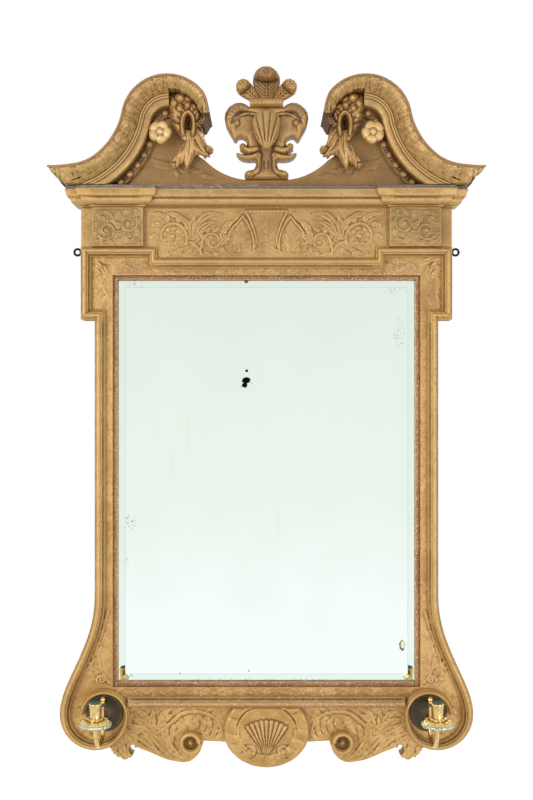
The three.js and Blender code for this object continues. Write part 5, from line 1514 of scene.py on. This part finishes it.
# %% Roundel and apron scrolls
def roundel_front(x, z):
    a, b = x / 86, (z - ROUNDEL_Z) / 74
    r, turn = np.hypot(a, b), np.arctan2(b, a)
    dome = 44 + 8 * np.sqrt(np.clip(1 - r**2 * 0.96, 0, 1))
    # a border of lobes, wider at the top
    upper = smooth_step((np.sin(turn) + 0.2) / 0.8)
    lobes = np.abs(np.cos(turn * 7.5)) ** 0.7
    border = smooth_step((r - 0.70) / 0.05) * (2.6 * lobes * upper + 0.4)
    side_leaf = (1 - upper) * smooth_step((r - 0.62) / 0.06) * (1.2 + 1.3 * np.abs(np.sin(turn * 9 + 3 * r)))
    border = border + side_leaf
    border -= 1.2 * np.exp(-(((r - 0.69) / 0.03) ** 2)) * (0.15 + 0.85 * upper)
    # the shell
    fx, fz = x, z + 988
    angle, reach = np.arctan2(fx, fz), np.hypot(fx, fz)
    ribs = np.abs(np.cos(angle * math.pi * 9 / 1.30))
    fan = smooth_step((1.02 - np.abs(angle) / 0.62) / 0.05) * smooth_step((73 + 3 * ribs - reach) / 2.5)
    shell = fan * smooth_step(reach / 16) * (1.5 + 2.8 * ribs * smooth_step((reach - 8) / 20))
    # curled leaves at the shell's foot
    ax = np.abs(x)
    curl = 4.5 * np.exp(-(((ax - 33) / 9) ** 2) - (((z + 978) / 8) ** 2))
    curl += 3 * np.exp(-(((ax - 52) / 11) ** 2) - (((z + 955) / 12) ** 2))
    eye = np.hypot(ax - 34, z + 977)
    spiral = 0.8 * np.sin(eye * 0.75) * np.exp(-((eye / 13) ** 2))
    return dome + border + shell + curl * (1 - fan) + spiral * (1 - fan)


# the roundel is cut off along its top, where it meets the bottom moulding
around = np.linspace(0, 2 * math.pi, 160)[:-1]
rim = np.column_stack([86 * np.cos(around), np.minimum(ROUNDEL_Z + 74 * np.sin(around), FOOT_Z - 0.2)])
below = rim[:, 1] < FOOT_Z - 0.3
rim = rim[below | np.roll(below, 1) | np.roll(below, -1)]
points, faces = carved_block(rim, roundel_front, 35, 1.2, soften=3.5)
points[:, 2] = np.minimum(points[:, 2], 61.8)
piece("shell_roundel_carved", points, faces, [gilding, ochre], replaces="shell_roundel",
      finish_of=lambda c, n: np.where((n[:, 1] > -0.2) & (c[:, 1] > -42), 1, 0))


def volute_front(x, z):
    dx, dz = x - SCROLL[0], z - SCROLL[1]
    r, a = np.hypot(dx, dz), np.arctan2(dz, dx)
    wound = r + 3.2 * ((-a / (2 * math.pi)) % 1.0)
    return np.interp(wound, [0, 3, 5.5, 7.5, 9, 12, 14.5, 16.5, 19, 22, 25, 27],
                     [50, 49, 46.5, 41, 39.5, 40.5, 46, 51, 53, 52, 48.5, 46])


round_rim = [(SCROLL[0] + 23 * math.cos(a), SCROLL[1] + 23 * math.sin(a))
             for a in np.linspace(0, 2 * math.pi, 73)[:-1]]
points, faces = carved_block(round_rim, volute_front, 35, 1.0, soften=1.5)
pair("apron_scroll", points, faces, gilding)
print("ornament:", made_faces, "triangles so far")


# %% [markdown]
# ## Small things set in rows
# Beads along the sight edge, eggs in the swan necks' bed moulding, the twisted rims of the drip pans and the
# nails in the backboards are all one small shape repeated along a line. They could be copied in a loop, but
# a row is what Geometry Nodes is for: a line goes in, points are spaced along it by a real pitch, a shape is
# set on each with a slight unevenness of hand work, and the result is made into plain mesh.

# %% One tree for every row
def row_tree():
    tree = bpy.data.node_groups.new("row_of_shapes", "GeometryNodeTree")
    for label, kind in (("Line", "NodeSocketGeometry"), ("Pitch", "NodeSocketFloat"),
                        ("Size", "NodeSocketVector"), ("Unevenness", "NodeSocketFloat"),
                        ("Turn", "NodeSocketVector"), ("Around", "NodeSocketInt"), ("Up", "NodeSocketInt"),
                        ("Seed", "NodeSocketInt"), ("Finish", "NodeSocketMaterial")):
        tree.interface.new_socket(label, in_out="INPUT", socket_type=kind)
    tree.interface.new_socket("Row", in_out="OUTPUT", socket_type="NodeSocketGeometry")
    given = add_node(tree, "NodeGroupInput").outputs
    curve = add_node(tree, "GeometryNodeMeshToCurve", {"Mesh": given["Line"]})
    spots = add_node(tree, "GeometryNodeCurveToPoints", {"Curve": curve.outputs[0], "Length": given["Pitch"]},
                     mode="LENGTH")
    shape = add_node(tree, "GeometryNodeMeshUVSphere", {"Segments": given["Around"], "Rings": given["Up"],
                                                        "Radius": 1.0})
    lean = add_node(tree, "FunctionNodeAlignRotationToVector", {"Vector": spots.outputs["Tangent"]}, axis="X")
    turned = add_node(tree, "FunctionNodeRotateRotation", {"Rotation": lean.outputs[0]},
                      rotation_space="LOCAL")
    euler = add_node(tree, "FunctionNodeEulerToRotation", {"Euler": given["Turn"]})
    tree.links.new(euler.outputs[0], turned.inputs["Rotate By"])
    least = add_node(tree, "ShaderNodeMath", {0: 1.0, 1: given["Unevenness"]}, operation="SUBTRACT")
    most = add_node(tree, "ShaderNodeMath", {0: 1.0, 1: given["Unevenness"]}, operation="ADD")
    vary = add_node(tree, "FunctionNodeRandomValue", {"Seed": given["Seed"]}, data_type="FLOAT")
    lows = [s for s in vary.inputs if s.enabled and s.name == "Min"][0]
    highs = [s for s in vary.inputs if s.enabled and s.name == "Max"][0]
    tree.links.new(least.outputs[0], lows)
    tree.links.new(most.outputs[0], highs)
    amount = next(s for s in vary.outputs if s.enabled)
    scaled = add_node(tree, "ShaderNodeVectorMath", {0: given["Size"]}, operation="SCALE")
    tree.links.new(amount, scaled.inputs["Scale"])
    placed = add_node(tree, "GeometryNodeInstanceOnPoints", {
        "Points": spots.outputs["Points"], "Instance": shape.outputs["Mesh"], "Rotation": turned.outputs[0],
        "Scale": scaled.outputs[0]})
    real = add_node(tree, "GeometryNodeRealizeInstances", {"Geometry": placed.outputs[0]})
    done = add_node(tree, "GeometryNodeSetMaterial", {"Geometry": real.outputs[0], "Material": given["Finish"]})
    smooth = add_node(tree, "GeometryNodeSetShadeSmooth", {0: done.outputs[0]})
    add_node(tree, "NodeGroupOutput", {0: smooth.outputs[0]})
    return tree


ROW = row_tree()
sockets = {item.name: item.identifier for item in ROW.interface.items_tree if item.in_out == "INPUT"}


def row(name, line, pitch, size, finish, body="root", uneven=0.05, turn=(0, 0, 0), around=8,
        up=5, seed=1, closed=False):
    """A row along a line of points (x, z, depth) in mm. size is along the line, across it and upwards."""
    line = np.asarray(line, float)
    count = len(line)
    edges = [(k, (k + 1) % count) for k in range(count if closed else count - 1)]
    mesh = bpy.data.meshes.new(name)
    mesh.from_pydata((np.column_stack([line[:, 0], -line[:, 2], line[:, 1]]) * MM).tolist(), edges, [])
    made = bpy.data.objects.new(name, mesh)
    scene.collection.objects.link(made)
    modifier = made.modifiers.new("row", "NODES")
    modifier.node_group = ROW
    for label, value in (("Pitch", pitch * MM), ("Size", [v * MM for v in size]), ("Unevenness", uneven),
                         ("Turn", turn), ("Around", around), ("Up", up), ("Seed", seed), ("Finish", finish)):
        modifier[sockets[label]] = value
    graph = bpy.context.evaluated_depsgraph_get()
    final = bpy.data.meshes.new_from_object(made.evaluated_get(graph), depsgraph=graph)
    made.modifiers.clear()
    made.data = final
    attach(made, body)
    return len(final.polygons)


# %% [markdown]
# The slips are thin strips between the frame and the glass, badly rubbed, with a row of beads. The strips
# are swept and mitred like the other mouldings and the beads are a row on each.

# %% Sight slips and their beads
SLIP = [(0, 22.3), (0, 30.2), (0.6, 31.6), (1.4, 32.2), (2.1, 31.2), (2.5, 30.6), (6.4, 30.6), (6.8, 30.8),
        (7.4, 30), (8.4, 28.6), (9, 27.4), (9, 22.3)]
corners = np.array([(-SLIP_X, RAIL_Z), (-SLIP_X, SILL_Z), (SLIP_X, SILL_Z), (SLIP_X, RAIL_Z)], float)
slip_gilding = water_gilding("slip_water_gilding", "#BC905A", "#966A42", "#432E1E", rub=0.12, chips=0.19,
                             extra_shade_and_dirt=0.08)
beads = 0
for k, name in enumerate(("left_slip", "bottom_slip", "right_slip", "top_slip")):
    a, b = corners[k], corners[(k + 1) % 4]
    points, faces = swept(finer([a, b], 8), rounded(SLIP, 2.0), before=corners[k - 1],
                          after=corners[(k + 2) % 4])
    piece(name + "_run", wavy(points, 0.15), faces, slip_gilding, replaces=name)
    inwards = np.array([-(b - a)[1], (b - a)[0]]) / np.linalg.norm(b - a) * 4.4
    run = (b - a) / np.linalg.norm(b - a) * 5.5
    ends = np.array([a + inwards + run, b + inwards - run])
    line = np.column_stack([finer(ends, 60), np.full(len(finer(ends, 60)), 31.0)])
    beads += row(name + "_beads", line, 4.1, (1.75, 1.85, 1.9), slip_gilding, uneven=0.09, seed=k)

# %% [markdown]
# The eggs sit in the bed moulding's hollow with a thin dart between each two, and small iron nails hold the
# three backboards. All are rows with their own pitch and size.

# %% Eggs and nails
egg_path = np.vstack([arc(-SCROLL_X, SCROLL_Z, SCROLL_R - 61.6, 60, BEND, 3),
                      arc(-HOLLOW_X, HOLLOW_Z, HOLLOW_R + 61.6, BEND - 180, -84, 3)[1:]])
egg_path = egg_path[egg_path[:, 1] > 156]
for side, turn in (("left", 1), ("right", -1)):
    line = np.column_stack([egg_path[:, 0] * turn, egg_path[:, 1], np.full(len(egg_path), 55.0)])
    row(side + "_neck_eggs", line, 22, (7.4, 5.2, 6.6), gilding, uneven=0.06, around=14, up=9, seed=7)
    line[:, 2] = 53.4
    half_way = line[:, :2] + np.gradient(line[:, :2], axis=0) / 3 * 11
    row(side + "_neck_darts", np.column_stack([half_way, line[:, 2]]), 22, (1.3, 4.4, 5), gilding, uneven=0.05,
        around=8, up=6, seed=8)
iron, tree = new_material("old_black_iron")
finish_material(tree, linear("#2A2724"), 0.55, 1.0, bump=[(0.15, pattern(tree, 2.5, 4.0, 0.7))])
board_z = np.linspace(-19.5, -858.5, 4)
for k, name in enumerate(("upper", "middle", "lower")):
    for side, x in (("left", -306), ("right", 306)):
        line = [(x, board_z[k] - 30, 7.7), (x, board_z[k + 1] + 20, 7.7)]
        row(f"{name}_board_{side}_nails", line, 44, (2.6, 0.8, 2.6), iron, uneven=0.08,
            around=10, up=5, seed=20 + k)
print("rows:", beads, "faces of beads")


# %% [markdown]
# ## The plate
# An old tin and mercury mirror: a little green, with the foxing and the losses of age, and whiter towards
# the foot by a painted reflection. The glass keeps its modelled shape with the wide shallow bevel; its silvering
# is one metal whose colour carries the marks and the painted reflection, each at its real place on the plate.

# %% Old silvered plate
def plate_material():
    made, tree = new_material("old_silvered_plate")
    where = add_node(tree, "ShaderNodeTexCoord")
    axes = add_node(tree, "ShaderNodeSeparateXYZ", {0: where.outputs["Object"]}).outputs
    ragged = pattern(tree, 6, 4.0, 0.65)
    slow = pattern(tree, 160, 2.0)

    def mark(x, z, wide, high, edge=0.25, rough=0.6):
        """1 inside a ragged spot centred at (x, z) mm."""
        u = weighted(tree, (axes["X"], 1 / (wide * MM)), plus=-x / wide)
        v = weighted(tree, (axes["Z"], 1 / (high * MM)), plus=-z / high)
        r = maths(tree, "SQRT", weighted(tree, (u, u), (v, v)))
        r = weighted(tree, (ragged, rough * 2), (r, 1.0), plus=-rough)
        return step(tree, r, 1 - edge, 1.0, 1.0, 0.0)

    # painted reflection: the plate is painted whiter towards its foot
    height = weighted(tree, (slow, 0.25), (axes["Z"], 1.0), plus=-0.125)
    colour = blend(tree, step(tree, height, -0.40, -0.03), linear("#E9F5EC"), linear("#E3EFE4"))
    colour = blend(tree, step(tree, height, -0.78, -0.42), linear("#F6FFFC"), colour)
    # painted reflection: the bevel's faint line and the duller strip beside it
    half_x, half_z, middle_z = 0.2855, 0.3905, -0.439  # the flat part of the plate, in metres
    across = maths(tree, "SUBTRACT", half_x, maths(tree, "ABSOLUTE", axes["X"]))
    from_middle = maths(tree, "SUBTRACT", axes["Z"], middle_z)
    upright = maths(tree, "SUBTRACT", half_z, maths(tree, "ABSOLUTE", from_middle))
    inset = maths(tree, "MINIMUM", across, upright)
    colour = blend(tree, step(tree, inset, -0.0012, 0.0004, 0.45, 0.0), colour, linear("#DCE9DF"))
    line = maths(tree, "ABSOLUTE", inset)
    colour = blend(tree, step(tree, line, 0.0004, 0.0016, 0.5, 0.0), colour, linear("#C9D8CC"))
    # yellowish streaks where damp has run
    streaks = pattern(tree, 9, 3.0, 0.6, stretch=(1, 1, 0.03), at=(0.4, 0, 0.2))
    area = weighted(tree, (mark(-185, -330, 75, 150, 0.8, 0.2), step(tree, streaks, 0.50, 0.66)),
                    (mark(20, -520, 130, 110, 0.9, 0.2), step(tree, streaks, 0.52, 0.7, 0.0, 0.5)))
    colour = blend(tree, maths(tree, "MULTIPLY", area, 0.4), colour, linear("#EBE6C8"))
    # mottling: clusters of tiny spots
    freckle = pattern(tree, 3.2, 2.0, 0.5, at=(0.1, 0.5, 0.9))
    for x, z, wide, high, share in (
            (268, -140, 16, 40, 0.65), (-264, -42, 22, 12, 0.6), (-276, -524, 15, 22, 0.75),
            (-284, -610, 9, 30, 0.5), (262, -56, 30, 9, 0.5), (0, -842, 280, 4, 0.6)):
        spots = maths(tree, "MULTIPLY", mark(x, z, wide, high, 0.7, 0.35),
                      step(tree, freckle, 0.56, 0.62, 0.0, share))
        colour = blend(tree, spots, colour, linear("#7D8478"))
    # bare black glass where the silvering has gone
    for x, z, wide, high in ((-39.6, -217, 3.4, 3.2), (-40.6, -236.4, 9.5, 7.5), (-44, -246, 7, 5.5)):
        colour = blend(tree, mark(x, z, wide, high), colour, linear("#0C0E0D"))
    for x, z, r in ((-272, -832.6, 2.2), (-174.8, -829, 2.0), (-35.4, -823.2, 2.0), (-52, -250, 1.4),
                    (-30, -243, 1.2)):
        colour = blend(tree, mark(x, z, r, r, 0.5), colour, linear("#8B968E"))
    colour = blend(tree, mark(274.4, -772, 6.4, 12.5), colour, linear("#5B5440"))
    colour = blend(tree, mark(275.2, -771, 4.6, 9.5), colour, linear("#F3EBC8"))
    colour = blend(tree, mark(-41, -36.5, 4, 4), colour, linear("#8A5440"))
    colour = blend(tree, mark(0, -844.6, 290, 1.5, 0.3, 0.3), colour, linear("#4E5650"))
    finish_material(tree, colour, 0.035, 1.0, bump=[(0.012, pattern(tree, 140, 1.0))])
    return made


plate = plate_material()


def dress(node_name, material):
    """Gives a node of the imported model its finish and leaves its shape."""
    for target in bpy.data.objects:
        if target.type == "MESH" and target.name == node_name:
            for slot in target.material_slots:
                slot.material = material
            return
    print("no such node:", node_name)


dress("mirror_glass", plate)
for name in ("upper_backboard", "middle_backboard", "lower_backboard", "cornice_core"):
    dress(name, pine)

# %% [markdown]
# The board on top of the cornice was never gilded along its edge and has gone grey, with white patches of
# lost ground.

# %% Cornice top board
top_half = [(-397, 0), (-397, 71), (-374, 71), (-374, 83.6), (-219, 83.6), (-219, 71)]
plan = np.array(top_half + [(-x, d) for x, d in top_half[::-1]], float)
points, faces = carved_block(plan, lambda x, d: 148.3 - 0.35 * np.sin(x / 31) ** 2, 141.1, 3.0, soften=0.9)
points = np.column_stack([points[:, 0], points[:, 2], points[:, 1]])
nibbled = 0.8 * np.sin(points[:, 0] * 0.21) * np.sin(points[:, 0] * 0.067 + 1)
points[:, 2] = np.where(points[:, 2] > 66, points[:, 2] - 0.8 + nibbled, points[:, 2])
piece("cornice_top_board_made", points, faces, [grey_board, pine], replaces="cornice_top_board",
      finish_of=lambda c, n: np.where((n[:, 2] > 0.7) | (n[:, 1] > 0.7), 1, 0))


# %% [markdown]
# ## Candle arms
# Cast and polished brass. Each arm hangs on a pin between two lugs of a dark patinated back plate and turns
# on it; the pan sits on the arm's end, with a lobed dish and a twisted rim whose silvering has gone green,
# and the nozzle holds a stub of green wax. Everything but the back plate rides on the arm's own body.

# %% Brass, patina, wax
def metal(name, colour, dark, roughness, metallic=1.0, size=9, dirt=0.5, bump_mm=0.05):
    made, tree = new_material(name)
    cloud = pattern(tree, size, 4.0, 0.6)
    fine = pattern(tree, 1.5, 3.0, 0.6)
    tone = blend(tree, step(tree, cloud, 0.42, 0.68, 0.0, dirt), linear(colour), linear(dark))
    tone = blend(tree, step(tree, measured(tree, "near"), 0.02, 0.35, 0.0, 0.8), tone, linear(dark))
    rough = add_node(tree, "ShaderNodeMapRange", {
        "Value": fine, "From Min": 0.3, "From Max": 0.7, "To Min": roughness * 0.8,
        "To Max": roughness * 1.3}).outputs[0]
    finish_material(tree, tone, rough, metallic, bump=[(bump_mm, cloud)])
    return made


brass = metal("polished_cast_brass", "#E3C782", "#A98746", 0.20)
silvered = metal("worn_silvering", "#C4CDB6", "#5E6B4E", 0.32, size=4, dirt=0.9)
patina = metal("dark_brown_patina", "#5E4C34", "#33291B", 0.50, 0.35, size=14, dirt=0.7, bump_mm=0.3)
wax, tree = new_material("green_candle_wax")
mottle = pattern(tree, 5, 3.0)
finish_material(tree, blend(tree, step(tree, mottle, 0.4, 0.65), linear("#0F6650"), linear("#0A4636")), 0.42,
                bump=[(0.2, mottle)])

# %% [markdown]
# Nearly all of the candle arm was turned on a lathe, so it is profiles spun round the pin's or the nozzle's
# axis; the arm itself is a bar bent along a smooth line, thicker in the middle. The screw eyes at the ears
# are a ring and a threaded shank.

# %% Back plates, arms, pans, nozzles, stubs and screw eyes
NOZZLE_D, PIN_D = 161, 64


def ring_lathe(section, x, depth, turns=40):
    """A closed section spun round an upright axis: a ring with a hole."""
    points, faces = lathe(section, x, depth, turns)
    last = (len(section) - 1) * turns
    return points, faces[:-2] + [[last + k, last + (k + 1) % turns, (k + 1) % turns, k] for k in range(turns)]


def brick(x0, x1, z0, z1, d0, d1):
    points = np.array([(x, z, d) for d in (d0, d1) for z in (z0, z1) for x in (x0, x1)], float)
    return points, [[0, 2, 3, 1], [4, 5, 7, 6], [0, 1, 5, 4], [2, 6, 7, 3], [0, 4, 6, 2], [1, 3, 7, 5]]


def raised_by(profile, rise):
    return [(r, h + rise) for r, h in profile]


dish = lathe([(0.02, 36.1), (36.6, 36.1), (37, 36.8), (36.9, 38.6), (36, 39.8), (34.4, 40.2), (33, 39.6),
              (32, 38.7),
              (28, 38.2), (20, 38.5), (13, 39.2), (11, 40.4), (9, 40.8), (4, 40.6), (0.02, 40.6)],
             -PLATE_X, PLATE_Z, 64, axis="y")
lug = [(3.55, -3), (5.8, -3), (6.5, -2.3), (6.5, 2.3), (5.8, 3), (3.55, 3)]
lugs = [dish]
for rise in (24, -6):
    lugs += [ring_lathe(raised_by(lug, PLATE_Z + rise), -PLATE_X, PIN_D),
             brick(-PLATE_X - 4.4, -PLATE_X + 4.4, PLATE_Z + rise - 2.8, PLATE_Z + rise + 2.8, 39, 60.3)]
pair("candle_plate", *joined(*lugs), patina, slot="patinated_brass")


def tube(route, radii, x, around=14):
    """A round bar along a route of (depth, height) points in the plane of x."""
    route = spline(route, 2.0)
    s = lengths(route)
    radius = np.interp(s / s[-1], np.linspace(0, 1, len(radii)), radii)
    along = np.gradient(route, axis=0)
    along /= np.linalg.norm(along, axis=1)[:, None]
    turn = np.linspace(0, 2 * math.pi, around, endpoint=False)
    rings = []
    for (d, z), (td, tz), r in zip(route, along, radius):
        up = r * np.sin(turn)
        rings.append(np.column_stack([x + r * np.cos(turn), z + up * td, d - up * tz]))
    return np.vstack(rings), between_rings(len(route), around)


route = [(64, PLATE_Z - 10.3), (64, PLATE_Z - 23), (72, PLATE_Z - 37), (100, PLATE_Z - 44),
         (131, PLATE_Z - 36.5),
         (153, PLATE_Z - 15), (161, PLATE_Z + 7), (161, PLATE_Z + 13)]
pin = lathe(raised_by([(0.02, -17), (3.4, -16.6), (4.6, -14.6), (5.5, -13.2), (5.6, -11), (5.2, -9.5),
                       (3.2, -9.4),
                       (3.2, 27.5), (4.6, 27.5), (5, 28.6), (4.4, 29.8), (3.4, 30.2), (3.5, 30.8), (4.9, 31.8),
                       (5.5, 33.6), (5.3, 35.4), (4.3, 37), (2.6, 38), (1.5, 38.3), (1.3, 39), (0.02, 39.3)],
                      PLATE_Z), -PLATE_X, PIN_D, 28)
seat = lathe(raised_by([(0.02, 6), (4.4, 6.4), (5.4, 8), (4.6, 9.4), (4.8, 10.4), (6.4, 11.8), (7, 12.8),
                        (7, 15),
                        (6.4, 15.7), (0.02, 15.7)], PLATE_Z), -PLATE_X, NOZZLE_D, 28)
knop = lathe(raised_by([(0.02, -49), (1.6, -48.6), (3.0, -47.4), (3.2, -46), (2.2, -44.8), (1.6, -42),
                        (0.02, -41)],
                       PLATE_Z), -PLATE_X, 101, 20)
pair("candle_arm", *joined(tube(route, [3.6, 4.4, 4.2, 4.6, 4.2, 3.8, 3.4], -PLATE_X), pin, seat, knop), brass,
     arm=True, slot="brass")

PAN_FOOT = PLATE_Z + 16
pan_profile = [(0.02, 0), (9, 0), (13, 0), (19, -1), (24, -2.6), (28, -4.6), (30.4, -5.4), (31.2, -4.4),
               (30.6, -3),
               (29.2, -1.6), (27.4, 0.8), (25.6, 3.2), (23.6, 4.6), (21.4, 5.2), (19, 5.2), (16.6, 4.8),
               (14.2, 4.8),
               (13.4, 5.4), (13.6, 6.6), (12.9, 7.4), (13.4, 8.6), (12.8, 9.4), (11.7, 9.5), (11.65, 4.5),
               (0.02, 4.5)]
points, faces = lathe(raised_by(pan_profile, PAN_FOOT), -PLATE_X, NOZZLE_D, 96)
out = np.hypot(points[:, 2] - NOZZLE_D, points[:, 0] + PLATE_X)
lobed = np.abs(np.cos(4 * np.arctan2(points[:, 2] - NOZZLE_D, points[:, 0] + PLATE_X))) ** 0.6
dish_part = smooth_step((out - 15) / 7) * smooth_step((29.4 - out) / 3) * (points[:, 1] > PAN_FOOT - 1.8)
points[:, 1] += 3.4 * (lobed - 0.45) * dish_part
pair("drip_pan", points, faces, brass, arm=True, slot="brass")
nozzle_profile = [(0.02, 0), (11.2, 0), (11.3, 1), (10.9, 2), (10.4, 3), (10.1, 5), (10.05, 12), (10.2, 18),
                  (10.6, 24), (11, 27), (11.1, 28.4), (11.8, 29.2), (12.3, 30.6), (12.2, 31.8), (11.4, 32.4),
                  (10, 32.4), (9.5, 31.8), (9.5, 4), (0.02, 4)]
pair("nozzle", *lathe(raised_by(nozzle_profile, -883.2), -PLATE_X, NOZZLE_D, 48), brass, arm=True, slot="brass")
stub_profile = [(0.02, 0), (8.9, 0), (9, 1), (9, 26), (9.1, 29), (8.9, 30.4), (7.6, 31.2), (5.4, 30.6),
                (3, 29.6),
                (1.2, 29.4), (0.7, 29.8), (0.6, 32), (0.02, 32.2)]
points, faces = lathe(raised_by(stub_profile, -878.9), -PLATE_X, NOZZLE_D, 40)
# the burnt end isn't level
lean = np.sin(2 * np.arctan2(points[:, 2] - NOZZLE_D, points[:, 0] + PLATE_X))
points[:, 1] += (points[:, 1] > -852) * 0.7 * lean
pair("wax_stub", points, faces, wax, arm=True, slot="wax")
for side, turn in (("left", -1), ("right", 1)):
    circle = np.linspace(0, 2 * math.pi, 60, endpoint=False)
    for label, r, z, pitch, size, tilt, finish in (
            ("rope_rim", 28.9, PAN_FOOT - 3.2, 5.6, (4.0, 2.8, 3.3), (0.0, 0.75, 0.0), silvered),
            ("collar_beads", 13.6, PAN_FOOT + 8.4, 2.9, (1.3, 1.3, 1.3), (0, 0, 0), brass)):
        line = np.column_stack([turn * PLATE_X + r * np.cos(circle), np.full(60, z),
                                NOZZLE_D + r * np.sin(circle)])
        row(f"{side}_{label}", line, pitch, size, finish, body=f"{side}_arm", uneven=0.06,
            turn=tilt, around=10, up=6, closed=True)

eye_turn = np.linspace(0, 2 * math.pi, 41)[:-1]
tube_turn = np.linspace(0, 2 * math.pi, 13)[:-1]
EYE_Z, EYE_D = 25, 3
A, B = np.meshgrid(eye_turn, tube_turn, indexing="ij")
from_eye = 6.5 + 2.3 * np.cos(B)
ring_points = np.column_stack([(-EAR_X - 14 + from_eye * np.cos(A)).ravel(),
                               (EYE_Z + from_eye * np.sin(A)).ravel(), (EYE_D + 1.9 * np.sin(B)).ravel()])
ring_faces = [[i * 12 + j, ((i + 1) % 40) * 12 + j, ((i + 1) % 40) * 12 + (j + 1) % 12, i * 12 + (j + 1) % 12]
              for i in range(40) for j in range(12)]
thread = [(1.8 - 0.35 * (k % 2), -374 + k * 1.0) for k in range(20)]
shank, shank_faces = lathe([(0.02, -377.5), (1.8, -377), *thread, (0.5, -353.2)], 0, 0, 12)
shank = np.column_stack([shank[:, 1], shank[:, 0] + EYE_Z, shank[:, 2] + EYE_D])
pair("screw_eye", *joined((ring_points, ring_faces), (shank, shank_faces)), iron, slot="iron")
print("all pieces:", made_faces, "triangles, rows not counted")


# %% Count the triangles
print("triangles in made pieces:", made_faces)
